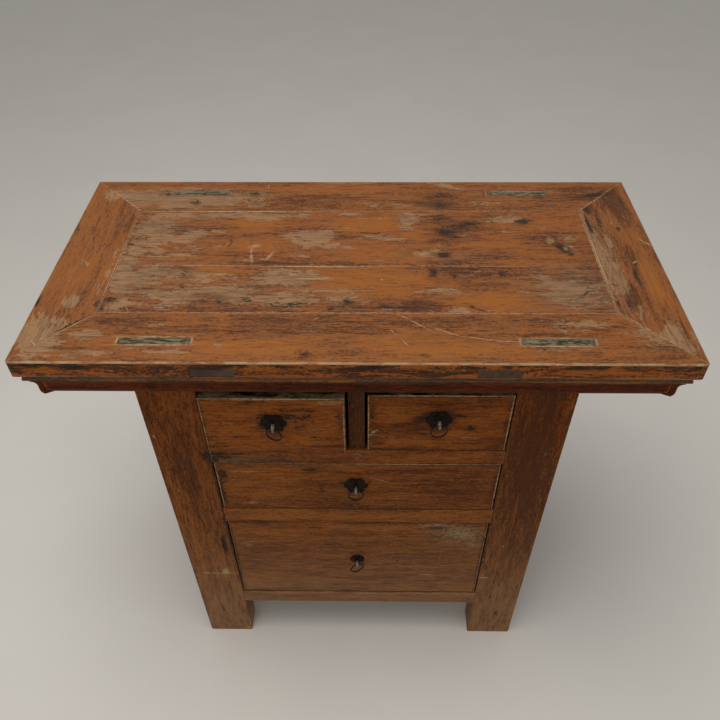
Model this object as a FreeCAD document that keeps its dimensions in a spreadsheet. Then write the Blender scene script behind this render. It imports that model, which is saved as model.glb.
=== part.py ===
import FreeCAD, Part
import math
import os

import Sketcher
from FreeCAD import Rotation, Vector

# An old lacquered softwood cabinet with four drawers under a wide overhanging top.
# Millimetres, +Z up, front towards -Y, origin on the floor below the middle of the top.

SIZES = [
    # Overall
    ("total_height", 890, "floor to the upper face of the top"),
    ("top_length", 1000, "top, left to right"),
    ("top_depth", 500, "top, front to back"),
    ("end_overhang", 158.5, "top beyond the outer sides of the legs"),
    ("front_overhang", 32, "top beyond the front and back faces of the legs"),
    # Framed top
    ("top_thickness", 50, "frame of the top"),
    ("front_member_width", 110, "front member of the top frame"),
    ("back_member_width", 103.5, "back member of the top frame"),
    ("end_member_width", 103.5, "end members of the top frame"),
    ("edge_arris", 4, "rounding of the upper edge of the top"),
    ("worn_corner", 8, "rounding of the top's four corners, seen from above"),
    ("edge_face", 22, "upright part of the edge, from the upper face down"),
    ("edge_sweep", 19, "radius that draws the edge in below the upright part"),
    ("edge_draw", 10, "how far that curve runs in"),
    ("edge_bead", 10, "height of the bead at the foot of the edge"),
    ("edge_bead_inset", 12.5, "quirk behind the bead"),
    ("edge_bead_radius", 5.4, "roundness of the bead"),
    ("corner_tenon_length", 82, "hidden tenon of the long members, from the mitre's inner end"),
    ("corner_tenon_width", 46, "hidden corner tenon, across"),
    ("corner_tenon_thickness", 12, "hidden corner tenon, up"),
    ("corner_tenon_height", 18, "hidden corner tenon above the underside of the frame"),
    # Floating panel
    ("panel_thickness", 13, "boards of the floating panel"),
    ("panel_drop", 0.5, "panel below the upper face of the frame"),
    ("panel_gap", 0.6, "open line round the panel"),
    ("front_board_width", 121, "front board of the panel"),
    ("board_seam", 0.3, "line between the two boards"),
    ("tongue_length", 8, "tongue round the panel"),
    ("tongue_thickness", 5.5, "tongue, up"),
    ("tongue_height", 2, "tongue above the underside of the board"),
    ("groove_room", 1, "spare depth of a panel groove"),
    # Battens under the panel
    ("batten_gap", 8.5, "batten beside the inner side of the legs"),
    ("batten_width", 64, "batten, left to right"),
    ("batten_height", 30, "batten, up"),
    ("batten_tenon", 16.5, "height of a batten tenon"),
    ("batten_shrink", 1, "end of a batten tenon behind the edge of the top"),
    # Moulded frame below the top
    ("under_thickness", 37, "moulded frame below the top"),
    ("under_width", 80, "member of that frame, outside to inside"),
    ("under_inset", 15, "set back from the edge of the top"),
    ("under_end_width", 165, "members of that frame at the ends, which reach in over the side rails"),
    ("under_lip", 5, "upright lip at its upper edge"),
    ("under_cove", 14, "radius of the cove below the lip"),
    ("under_cove_height", 11, "that cove, up"),
    ("under_step", 7.5, "how far the cove runs in"),
    ("under_round", 18, "radius of the round at its lower edge"),
    ("under_round_height", 13, "that round, up"),
    ("under_round_run", 4.5, "how far that round runs in"),
    # Legs
    ("leg_width", 94, "leg, left to right"),
    ("leg_depth", 52, "leg, front to back"),
    ("leg_arris", 2.5, "rounding of the long edges of the legs"),
    ("foot_wear", 9, "worn outer edge of the front left foot"),
    ("leg_tenon_setback", 7, "tenon behind the outer face of the leg"),
    ("leg_tenon_thickness", 13, "tenon that shows in the top"),
    ("wedge_width", 6.5, "wedge beside the tenon, at the upper face of the top"),
    ("wedge_tip", 1.2, "wedge, at its lower end"),
    ("wedge_depth", 30, "wedge, up"),
    # Front rails and openings, from the floor up
    ("foot_height", 136.5, "clear height under the bottom rail"),
    ("bottom_rail_height", 37.5, "bottom front rail"),
    ("middle_rail_height", 41, "rail over the bottom drawer"),
    ("middle_opening", 137.5, "opening of the middle drawer"),
    ("upper_rail_height", 34.5, "rail under the two small drawers"),
    ("small_opening", 146.5, "openings of the small drawers; the bottom drawer has what is left"),
    ("rail_depth", 44, "front rails, front to back"),
    ("rail_arris", 1.5, "rounding of the front edges of the rails"),
    ("bottom_rail_arris", 4, "worn upper edge of the bottom rail"),
    ("rail_tenon_length", 30, "tenons of the rails"),
    ("rail_tenon_thickness", 14, "tenons of the rails, across"),
    ("rail_shoulder", 5, "shoulder above and below a rail tenon"),
    # Upright between the small drawers
    ("stile_width", 27, "upright, left to right"),
    ("stile_depth", 36, "upright, front to back"),
    ("stile_setback", 4, "upright behind the faces of the rails"),
    ("stile_tenon_width", 20, "its tenons, left to right"),
    ("stile_tenon_length", 24, "its lower tenon"),
    ("stile_head_length", 14, "its upper tenon"),
    ("peg_radius", 6, "peg through its lower tenon"),
    ("peg_length", 30, "that peg"),
    ("peg_stand", 0.4, "peg proud of the rail"),
    ("peg_height", 20, "peg above the underside of the rail"),
    # Side and back framing
    ("side_rail_height", 40, "upper rails of the sides and the back"),
    ("low_rail_height", 42, "lower rails of the sides and the back"),
    ("side_rail_thickness", 30, "rails of the sides and the back"),
    ("side_rail_setback", 6, "those rails behind the outer faces of the legs"),
    ("side_tenon_length", 20, "tenons of those rails"),
    ("side_tenon_thickness", 14, "those tenons, across"),
    ("wall_thickness", 12, "panels of the sides and the back"),
    ("wall_groove", 8, "depth to which those panels are let in"),
    ("groove_clear", 2, "tenons of those rails clear of the panels"),
    # Drawer runners
    ("runner_ledge", 31, "ledge under a drawer side"),
    ("runner_thickness", 22, "ledge, up"),
    ("guide_width", 14, "upstand beside a drawer"),
    ("guide_height", 14, "upstand above the ledge"),
    ("guide_gap", 0.3, "upstand beside the legs' inner faces"),
    ("centre_ledge", 80, "ledge shared by the two small drawers"),
    ("runner_tenon_length", 8, "tenons of the runners"),
    ("runner_tenon_width", 8, "those tenons, across"),
    # Drawers
    ("drawer_side_gap", 2.5, "drawer front beside the legs"),
    ("stile_gap", 4.5, "small drawer fronts beside the upright"),
    ("drawer_foot_gap", 2, "drawer front above its rail"),
    ("drawer_head_gap", 1.7, "middle and bottom fronts below their rails"),
    ("small_head_gap", 12, "small fronts below the moulded frame"),
    ("bottom_front_setback", 3, "bottom drawer front behind the rails"),
    ("left_drawer_out", 8, "left small drawer, pulled a little open"),
    ("front_thickness", 20, "drawer fronts"),
    ("front_arris", 1.6, "rounding of the edges of a drawer front"),
    ("side_thickness", 12, "drawer sides"),
    ("back_thickness", 12, "drawer backs"),
    ("floor_thickness", 8, "drawer bottoms"),
    ("floor_height", 9, "drawer bottom above the lower edge of the sides"),
    ("floor_groove", 5, "depth of the groove for a drawer bottom"),
    ("side_rebate", 9, "depth to which a drawer side laps the front"),
    ("side_drop", 7, "upper edge of a drawer side below the front's"),
    ("back_housing", 4, "depth to which a drawer back is housed"),
    ("back_inset", 8, "drawer back ahead of the ends of the sides"),
    ("slide_gap", 0.3, "drawer sides above the runners"),
    ("stop_gap", 0.5, "shut drawers ahead of what stops them"),
    # Pulls
    ("plate_thickness", 1.2, "iron back plates"),
    ("plate_lobe_radius", 8.5, "lobes of a back plate"),
    ("plate_lobe_reach", 13, "middle of a lobe from the middle of the plate"),
    ("boss_radius", 11, "domed middle of a lobed plate"),
    ("washer_radius", 14, "round plate of the bottom drawer"),
    ("boss_height", 3, "dome above the plate"),
    ("pin_hole", 3, "radius of the hole for the pin"),
    ("pin_strip", 1.6, "thickness of the strip that the pin is folded from"),
    ("pin_width", 4, "width of that strip"),
    ("eye_radius", 7, "outer radius of the eye"),
    ("eye_reach", 11, "middle of the eye ahead of the drawer front"),
    ("pin_spread", 14, "how far the pin's ends are bent apart"),
    ("ring_wire", 1.5, "radius of the ring's wire"),
    ("ring_radius", 13, "ring, to the middle of its wire"),
    ("ring_play", 0.6, "ring above the bottom of the eye"),
    ("small_pin_height", 78, "pins of the small drawers above their rail"),
    ("middle_pin_height", 75.5, "pin of the middle drawer above its rail"),
    ("middle_pin_shift", -2.5, "pins of the wide drawers beside the middle"),
    ("left_ring_turn", -18, "ring of the left small drawer, turned about the upright"),
    ("right_ring_turn", 7, "ring of the right small drawer"),
    ("middle_ring_turn", 4, "ring of the middle drawer"),
    ("bottom_ring_turn", 22, "ring of the bottom drawer"),
    # Fits
    ("joint_fit", 0.15, "room round a tenon, tongue or peg"),
    ("joint_room", 0.5, "spare depth of a mortise"),
]


class Size:
    """A length with its value now and the expression that ties it to the sheet."""

    def __init__(self, value, text):
        self.value = value
        self.text = text

    def joined(self, sign, other, value):
        return Size(value, "(%s %s %s)" % (self.text, sign, other.text))

    def __add__(self, other):
        other = as_size(other)
        return self.joined("+", other, self.value + other.value)

    def __sub__(self, other):
        other = as_size(other)
        return self.joined("-", other, self.value - other.value)

    def __mul__(self, other):
        other = as_size(other)
        return self.joined("*", other, self.value * other.value)

    def __truediv__(self, other):
        other = as_size(other)
        return self.joined("/", other, self.value / other.value)

    def __radd__(self, other):
        return as_size(other) + self

    def __rsub__(self, other):
        return as_size(other) - self

    def __rmul__(self, other):
        return as_size(other) * self

    def __neg__(self):
        return as_size(0) - self


def as_size(value):
    return value if isinstance(value, Size) else Size(float(value), repr(float(value)))


def root(size):
    """Square root of a size."""
    return Size(math.sqrt(size.value), "sqrt(%s)" % size.text)


class Sizes:
    """Every row of the sheet as a Size, by name."""


doc = FreeCAD.newDocument("Cabinet")
sheet = doc.addObject("Spreadsheet::Sheet", "Sizes")
s = Sizes()
for row, (alias, value, meaning) in enumerate(SIZES, start=1):
    sheet.set("A%d" % row, alias)
    sheet.set("B%d" % row, str(value))
    sheet.set("C%d" % row, meaning)
    sheet.setAlias("B%d" % row, alias)
    setattr(s, alias, Size(float(value), "Sizes." + alias))
doc.recompute()

# Section pieces: what a sketch is drawn from


def rectangle(x0, x1, y0, y1):
    return ("rectangle", [as_size(c) for c in (x0, x1, y0, y1)])


def circle(x, y, radius):
    return ("circle", [as_size(c) for c in (x, y, radius)])


def corner(x, y):
    """A corner of an outline, reached by a straight line."""
    return (as_size(x), as_size(y), None, 0)


def bend(x, y, radius, turn):
    """A corner of an outline, reached by an arc: turn is 1 for a left turn and -1 for a right one."""
    return (as_size(x), as_size(y), as_size(radius), turn)


def outline(corners):
    return ("outline", corners)


ORIGIN = (-1, 1)


def set_distance(sketch, kind, geometry, point, size):
    """Ties one coordinate of a sketch point to a size, measured from the sketch's origin."""
    number = sketch.addConstraint(Sketcher.Constraint(kind, *ORIGIN, geometry, point, size.value))
    sketch.setExpression("Constraints[%d]" % number, size.text)


def draw_rectangle(sketch, x0, x1, y0, y1):
    points = [(x0, y0), (x1, y0), (x1, y1), (x0, y1)]
    points = [Vector(x.value, y.value, 0) for x, y in points]
    lines = []
    for start, end in zip(points, points[1:] + points[:1]):
        lines.append(sketch.addGeometry(Part.LineSegment(start, end), False))
    for line, following in zip(lines, lines[1:] + lines[:1]):
        sketch.addConstraint(Sketcher.Constraint("Coincident", line, 2, following, 1))
    for number, line in enumerate(lines):
        direction = "Vertical" if number % 2 else "Horizontal"
        sketch.addConstraint(Sketcher.Constraint(direction, line))
    set_distance(sketch, "DistanceX", lines[0], 1, x0)
    set_distance(sketch, "DistanceX", lines[2], 1, x1)
    set_distance(sketch, "DistanceY", lines[0], 1, y0)
    set_distance(sketch, "DistanceY", lines[2], 1, y1)


def draw_circle(sketch, x, y, radius):
    shape = Part.Circle(Vector(x.value, y.value, 0), Vector(0, 0, 1), radius.value)
    number = sketch.addGeometry(shape, False)
    set_distance(sketch, "DistanceX", number, 3, x)
    set_distance(sketch, "DistanceY", number, 3, y)
    constraint = sketch.addConstraint(Sketcher.Constraint("Radius", number, radius.value))
    sketch.setExpression("Constraints[%d]" % constraint, radius.text)


def arc_between(start, end, radius, turn):
    """The short arc from start to end whose middle lies to the left (turn 1) or right (turn -1)."""
    chord = end - start
    half = chord.Length / 2
    offset = math.sqrt(max(radius * radius - half * half, 0))
    left = Vector(-chord.y, chord.x, 0).normalize()
    centre = (start + end) * 0.5 + left * (turn * offset)
    angles = [math.atan2(p.y - centre.y, p.x - centre.x) for p in (start, end)]
    if turn < 0:
        angles.reverse()
    return Part.ArcOfCircle(Part.Circle(centre, Vector(0, 0, 1), radius), *angles)


def draw_outline(sketch, *corners):
    points = [Vector(x.value, y.value, 0) for x, y, radius, turn in corners]
    segments = []
    for number, (x, y, radius, turn) in enumerate(corners):
        start, end = points[number - 1], points[number]
        if radius is None:
            segments.append((sketch.addGeometry(Part.LineSegment(start, end), False), 1, 2))
            continue
        arc = sketch.addGeometry(arc_between(start, end, radius.value, turn), False)
        segments.append((arc, 1, 2) if turn > 0 else (arc, 2, 1))
        constraint = sketch.addConstraint(Sketcher.Constraint("Radius", arc, radius.value))
        sketch.setExpression("Constraints[%d]" % constraint, radius.text)
    following = segments[1:] + segments[:1]
    for (line, first, last), (after, start, end) in zip(segments, following):
        sketch.addConstraint(Sketcher.Constraint("Coincident", line, last, after, start))
    for (x, y, radius, turn), (line, first, last) in zip(corners, segments):
        set_distance(sketch, "DistanceX", line, last, x)
        set_distance(sketch, "DistanceY", line, last, y)


DRAW = {"rectangle": draw_rectangle, "circle": draw_circle, "outline": draw_outline}

# Bodies and their features. A sketch on XZ looks along +Y, so its normal points to -Y.

NORMAL_SIGN = {"XY": 1, "XZ": -1, "YZ": 1}


def new_body(label, x=0, y=0, z=0, turn=0):
    """A body whose origin stands at x, y, z, turned about the upright."""
    body = doc.addObject("PartDesign::Body", "Body_" + label)
    body.Label = label
    spin = as_size(turn)
    x, y, z = as_size(x), as_size(y), as_size(z)
    place = Vector(x.value, y.value, z.value)
    body.Placement = FreeCAD.Placement(place, Rotation(Vector(0, 0, 1), spin.value))
    for axis, size in zip("xyz", (x, y, z)):
        body.setExpression("Placement.Base.%s" % axis, size.text)
    return body


def new_sketch(body, name, plane, height, sections):
    sketch = body.newObject("Sketcher::SketchObject", name + "Sketch")
    role = plane + "_Plane"
    support = [o for o in body.Origin.OriginFeatures if o.Role == role][0]
    sketch.AttachmentSupport = [(support, "")]
    sketch.MapMode = "FlatFace"
    offset = as_size(height) * NORMAL_SIGN[plane]
    sketch.AttachmentOffset = FreeCAD.Placement(Vector(0, 0, offset.value), Rotation())
    sketch.setExpression("AttachmentOffset.Base.z", offset.text)
    for kind, values in sections:
        DRAW[kind](sketch, *values)
    return sketch


def extrude(kind, body, name, plane, low, high, sections):
    """A pad or pocket of the sections, from low to high along the axis across the plane."""
    low, high = as_size(low), as_size(high)
    sketch = new_sketch(body, name, plane, (low + high) / 2, sections)
    feature = body.newObject("PartDesign::" + kind, name)
    feature.Profile = sketch
    feature.SideType = "Symmetric"
    feature.Length = high.value - low.value
    feature.setExpression("Length", (high - low).text)
    body.Tip = feature
    return feature


def add(body, name, plane, low, high, *sections):
    return extrude("Pad", body, name, plane, low, high, sections)


def cut(body, name, plane, low, high, *sections):
    return extrude("Pocket", body, name, plane, low, high, sections)


def revolve(body, name, plane, height, *sections):
    """A full turn of the sections about the upright axis of their sketch."""
    sketch = new_sketch(body, name, plane, height, sections)
    feature = body.newObject("PartDesign::Revolution", name)
    feature.Profile = sketch
    feature.ReferenceAxis = (sketch, ["V_Axis"])
    feature.Angle = 360
    body.Tip = feature
    return feature


def is_straight_along(edge, axis):
    ends = [vertex.Point for vertex in edge.Vertexes]
    if len(ends) != 2:
        return False
    step = ends[1] - ends[0]
    return abs(abs(step.dot(axis)) - step.Length) < 1e-6 and abs(edge.Length - step.Length) < 1e-6


def round_edges(body, name, radius, axis, wanted):
    """Rounds the straight edges along axis whose middle point the test wanted accepts."""
    doc.recompute()
    base = body.Tip
    names = []
    for number, edge in enumerate(base.Shape.Edges, start=1):
        if is_straight_along(edge, axis) and wanted(edge.CenterOfMass):
            names.append("Edge%d" % number)
    if not names:
        raise ValueError("no edge to round on " + body.Label)
    fillet = body.newObject("PartDesign::Fillet", name)
    fillet.Base = (base, names)
    fillet.Radius = radius.value
    fillet.setExpression("Radius", radius.text)
    body.Tip = fillet
    return fillet


ALONG_X = Vector(1, 0, 0)
ALONG_Y = Vector(0, 1, 0)
ALONG_Z = Vector(0, 0, 1)
CLOSE = 0.01


def group(label, bodies):
    """Like pieces that share one node, as separate solids."""
    node = doc.addObject("Part::Compound", "Group_" + label)
    node.Label = label
    node.Links = bodies
    return node


nodes = []
fit = s.joint_fit

# Levels and faces that several pieces share

body_width = s.top_length - s.end_overhang * 2
body_depth = s.top_depth - s.front_overhang * 2

under_level = s.total_height - s.top_thickness - s.under_thickness
slab_level = s.total_height - s.top_thickness
small_open = under_level - s.small_opening
upper_rail_level = small_open - s.upper_rail_height
middle_open = upper_rail_level - s.middle_opening
middle_rail_level = middle_open - s.middle_rail_height
bottom_open = s.foot_height + s.bottom_rail_height
bottom_opening = middle_rail_level - bottom_open
back_top_level = under_level - s.side_rail_height

face_y = -body_depth / 2
leg_inner = body_width / 2 - s.leg_width
leg_x = body_width / 2 - s.leg_width / 2
leg_y = body_depth / 2 - s.leg_depth / 2
batten_x = leg_inner - s.batten_gap - s.batten_width / 2
leg_gap = body_depth / 2 - s.leg_depth
rail_back = body_depth / 2 - s.rail_depth
rail_middle = body_depth / 2 - s.rail_depth / 2

# Rails and panels of the sides and the back lie on two shared lines behind the legs' outer faces
wall_line = s.side_rail_setback + s.side_rail_thickness / 2
side_wall_x = body_width / 2 - wall_line
back_wall_y = body_depth / 2 - wall_line
back_rail_front = back_wall_y - s.side_rail_thickness / 2
back_wall_front = back_wall_y - s.wall_thickness / 2

# The frame of the top and the moulded frame below it: members mitred at the corners.
# Each is drawn with its length along X, its outer edge at y = 0 and its underside at z = 0.

# How far mitres and worn corners are cut past the wood, and mortises past the face that they enter
CLEAR = 5
OVERCUT = 1


def mitre(body, length, width, ends):
    """Cuts each end from its outer corner to its inner one; ends holds side, neighbour's width."""
    for number, (side, neighbour) in enumerate(ends, start=1):
        slope = neighbour / width
        outer = side * (length / 2 + slope * CLEAR)
        inner = side * (length / 2 - neighbour - slope * CLEAR)
        beyond = side * (length / 2 + slope * CLEAR + CLEAR)
        cut(body, "Mitre%d" % number, "XY", -CLEAR, s.top_thickness + CLEAR, outline([
            corner(outer, -CLEAR),
            corner(inner, width + CLEAR),
            corner(beyond, width + CLEAR),
            corner(beyond, -CLEAR),
        ]))


def round_corners(body, length):
    """Rounds the outer corner at each end of a member of the top, seen from above."""
    radius = s.worn_corner
    for side, turn, name in ((-1, -1, "LeftCorner"), (1, 1, "RightCorner")):
        start = side * (length / 2 - radius)
        beyond = side * (length / 2 + CLEAR)
        cut(body, name, "XY", -CLEAR, s.top_thickness + CLEAR, outline([
            corner(start, -CLEAR),
            corner(start, 0),
            bend(side * (length / 2), radius, radius, turn),
            corner(beyond, radius),
            corner(beyond, -CLEAR),
        ]))


def top_section(width):
    """Section of the top's frame: worn arris, upright face, curve drawn in, bead."""
    high = s.top_thickness
    face_end = high - s.edge_face
    return outline([
        corner(width, 0),
        corner(width, high),
        corner(s.edge_arris, high),
        bend(0, high - s.edge_arris, s.edge_arris, 1),
        corner(0, face_end),
        bend(s.edge_draw, face_end - sweep_drop(s.edge_draw), s.edge_sweep, 1),
        corner(s.edge_bead_inset, s.edge_bead),
        bend(s.edge_bead_inset, 0, s.edge_bead_radius, 1),
    ])


def sweep_drop(inset):
    """How far below the upright face the edge's curve has run in by inset."""
    reach = s.edge_sweep - inset
    return root(s.edge_sweep * s.edge_sweep - reach * reach)


def under_section(width):
    """Section of the moulded frame below: lip, cove, upright step, round at the foot."""
    high = s.under_thickness
    return outline([
        corner(width, 0),
        corner(width, high),
        corner(0, high),
        corner(0, high - s.under_lip),
        bend(s.under_step, high - s.under_lip - s.under_cove_height, s.under_cove, -1),
        corner(s.under_step, s.under_round_height),
        bend(s.under_step + s.under_round_run, 0, s.under_round, 1),
    ])


leg_tenon_in = s.front_overhang + s.leg_tenon_setback
panel_under = s.top_thickness - s.panel_drop - s.panel_thickness
tongue_low = panel_under + s.tongue_height
tongue_high = tongue_low + s.tongue_thickness


def cut_panel_groove(body, length, width):
    cut(body, "PanelGroove", "YZ", -length / 2, length / 2, rectangle(
        width - s.tongue_length - s.groove_room, width + OVERCUT,
        tongue_low - fit, tongue_high + fit))


# The hidden corner tenon sits this far across its member, as a share of the member's width
CORNER_TENON_PLACE = 0.6


def corner_tenon_span(width, room):
    """The corner tenon across a long member, measured from its outer edge."""
    half = s.corner_tenon_width / 2 + room
    return width * CORNER_TENON_PLACE - half, width * CORNER_TENON_PLACE + half


def corner_tenon_rise(room):
    low = s.corner_tenon_height - room
    return low, low + s.corner_tenon_thickness + room * 2


def cut_leg_mortises(body, inset, high, flared):
    """Mortises for the legs' tenons; in the top they flare upwards for the wedges."""
    near = leg_tenon_in - inset - fit
    far = leg_tenon_in - inset + s.leg_tenon_thickness + fit
    half = s.leg_width / 2 + fit
    flare_low = high - s.wedge_depth - fit
    for side, name in ((-1, "LeftLegMortise"), (1, "RightLegMortise")):
        middle = side * leg_x
        if not flared:
            cut(body, name, "XZ", near, far, rectangle(middle - half, middle + half, -OVERCUT, high + OVERCUT))
            continue
        cut(body, name, "XZ", near, far, outline([
            corner(middle - half, -OVERCUT),
            corner(middle + half, -OVERCUT),
            corner(middle + half, flare_low),
            corner(middle + half + s.wedge_tip, flare_low),
            corner(middle + half + s.wedge_width, high),
            corner(middle - half - s.wedge_width, high),
            corner(middle - half - s.wedge_tip, flare_low),
            corner(middle - half, flare_low),
        ]))


def long_member(label, y, turn, width):
    """Front or back member of the top's frame."""
    body = new_body(label, 0, y, slab_level, turn)
    add(body, "Moulding", "YZ", -s.top_length / 2, s.top_length / 2, top_section(width))
    mitre(body, s.top_length, width, [(-1, s.end_member_width), (1, s.end_member_width)])
    round_corners(body, s.top_length)
    cut_panel_groove(body, s.top_length, width)
    near, far = corner_tenon_span(width, 0)
    low, high = corner_tenon_rise(as_size(0))
    inner = s.top_length / 2 - s.end_member_width
    for side, name in ((-1, "LeftTenon"), (1, "RightTenon")):
        ends = sorted([side * (inner - CLEAR), side * (inner + s.corner_tenon_length)],
                      key=lambda end: end.value)
        add(body, name, "XY", low, high, rectangle(*ends, near, far))
    cut_leg_mortises(body, as_size(0), s.top_thickness, True)
    reach = s.batten_width / 2 + fit
    holes = []
    for side in (-1, 1):
        middle = side * batten_x
        holes.append(rectangle(middle - reach, middle + reach,
                               panel_under - s.batten_tenon - fit, panel_under + fit))
    cut(body, "BattenMortises", "XZ", -OVERCUT, width + OVERCUT, *holes)
    return body


def end_member(label, x, turn):
    """Left or right member of the top's frame."""
    body = new_body(label, x, 0, slab_level, turn)
    width = s.end_member_width
    back = turn // 90
    add(body, "Moulding", "YZ", -s.top_depth / 2, s.top_depth / 2, top_section(width))
    mitre(body, s.top_depth, width, [(back, s.back_member_width), (-back, s.front_member_width)])
    round_corners(body, s.top_depth)
    cut_panel_groove(body, s.top_depth, width)
    low, high = corner_tenon_rise(fit)
    depth = width - s.corner_tenon_length - s.joint_room
    for side, neighbour, name in ((back, s.back_member_width, "BackMortise"),
                                  (-back, s.front_member_width, "FrontMortise")):
        near, far = corner_tenon_span(neighbour, fit)
        ends = sorted([side * (s.top_depth / 2 - near), side * (s.top_depth / 2 - far)],
                      key=lambda end: end.value)
        cut(body, name, "XY", low, high, rectangle(*ends, depth, width + OVERCUT))
    return body


def under_member(label, x, y, turn, length, width, neighbour):
    """Member of the moulded frame below the top."""
    body = new_body(label, x, y, under_level, turn)
    add(body, "Moulding", "YZ", -length / 2, length / 2, under_section(width))
    mitre(body, length, width, [(-1, neighbour), (1, neighbour)])
    return body


half_length = s.top_length / 2
half_depth = s.top_depth / 2
nodes.append(long_member("top_front_rail", -half_depth, 0, s.front_member_width))
nodes.append(long_member("top_back_rail", half_depth, 180, s.back_member_width))
nodes.append(end_member("top_left_rail", -half_length, -90))
nodes.append(end_member("top_right_rail", half_length, 90))

# Floating panel: two boards, tongued into the frame and side by side

panel_x = half_length - s.end_member_width
panel_front = -half_depth + s.front_member_width
panel_back = half_depth - s.back_member_width
seam = panel_front + s.panel_gap + s.front_board_width


def board(label, y0, y1, tongue_y0, tongue_y1):
    body = new_body(label, 0, 0, slab_level)
    edge = panel_x - s.panel_gap
    reach = panel_x + s.tongue_length
    add(body, "Board", "XY", panel_under, panel_under + s.panel_thickness,
        rectangle(-edge, edge, y0, y1))
    add(body, "Tongue", "XY", tongue_low, tongue_high,
        rectangle(-reach, reach, tongue_y0, tongue_y1))
    return body


nodes.append(board("top_front_board", panel_front + s.panel_gap, seam,
                   panel_front - s.tongue_length, seam))
nodes.append(board("top_back_board", seam + s.board_seam, panel_back - s.panel_gap,
                   seam + s.board_seam, panel_back + s.tongue_length))

# Battens under the panel, whose tenons run right through the long members


def batten(label, side):
    body = new_body(label, side * batten_x, 0, slab_level)
    across = s.batten_width / 2
    add(body, "Batten", "XY", panel_under - s.batten_height, panel_under,
        rectangle(-across, across, panel_front, panel_back))
    end = half_depth - s.batten_shrink
    face_end = s.top_thickness - s.edge_face
    low = panel_under - s.batten_tenon
    radius = s.edge_sweep - s.batten_shrink
    drop = face_end - low
    inner = half_depth - s.edge_sweep + root(radius * radius - drop * drop)
    add(body, "Tenons", "YZ", -across, across, outline([
        corner(inner, low),
        bend(end, face_end, radius, 1),
        corner(end, panel_under),
        corner(-end, panel_under),
        corner(-end, face_end),
        bend(-inner, low, radius, 1),
    ]))
    return body


nodes.append(batten("top_left_batten", -1))
nodes.append(batten("top_right_batten", 1))

# Moulded frame below the top: the long members take the legs, the end members reach in to the side rails

under_x = half_length - s.under_inset
under_y = half_depth - s.under_inset
for label, y, turn in (("under_front_moulding", -under_y, 0), ("under_back_moulding", under_y, 180)):
    member = under_member(label, 0, y, turn, under_x * 2, s.under_width, s.under_end_width)
    cut_leg_mortises(member, s.under_inset, s.under_thickness, False)
    nodes.append(member)
for label, x, turn in (("under_left_moulding", -under_x, -90), ("under_right_moulding", under_x, 90)):
    nodes.append(under_member(label, x, 0, turn, under_y * 2, s.under_end_width, s.under_width))

stile_middle = s.stile_depth / 2 + s.stile_setback + face_y
tenon_half = s.rail_tenon_thickness / 2
stile_half = s.stile_tenon_width / 2
stile_tenon_y = stile_middle + under_y
cut(nodes[-4], "StileMortise", "XY", -OVERCUT, s.stile_head_length + s.joint_room, rectangle(
    -stile_half - fit, stile_half + fit,
    stile_tenon_y - tenon_half - fit, stile_tenon_y + tenon_half + fit))

# Legs: the long edges are rounded, and a wide thin tenon runs up through both frames.
# Each leg is drawn about its own middle; outward and forward are the signs of its place.

panel_low = s.foot_height + s.low_rail_height
front_rails = [
    (s.foot_height, s.bottom_rail_height),
    (middle_rail_level, s.middle_rail_height),
    (upper_rail_level, s.upper_rail_height),
]
side_rails = [(s.foot_height, s.low_rail_height), (back_top_level, s.side_rail_height)]
back_rails = [side_rails[0], (upper_rail_level, s.upper_rail_height), side_rails[1]]
runner_tenon_x = leg_inner + s.guide_gap + s.guide_width / 2
side_shoulder = s.wall_groove + s.groove_clear


def span(start, end):
    """The two ends in rising order."""
    return sorted([as_size(start), as_size(end)], key=lambda end: end.value)


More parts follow.
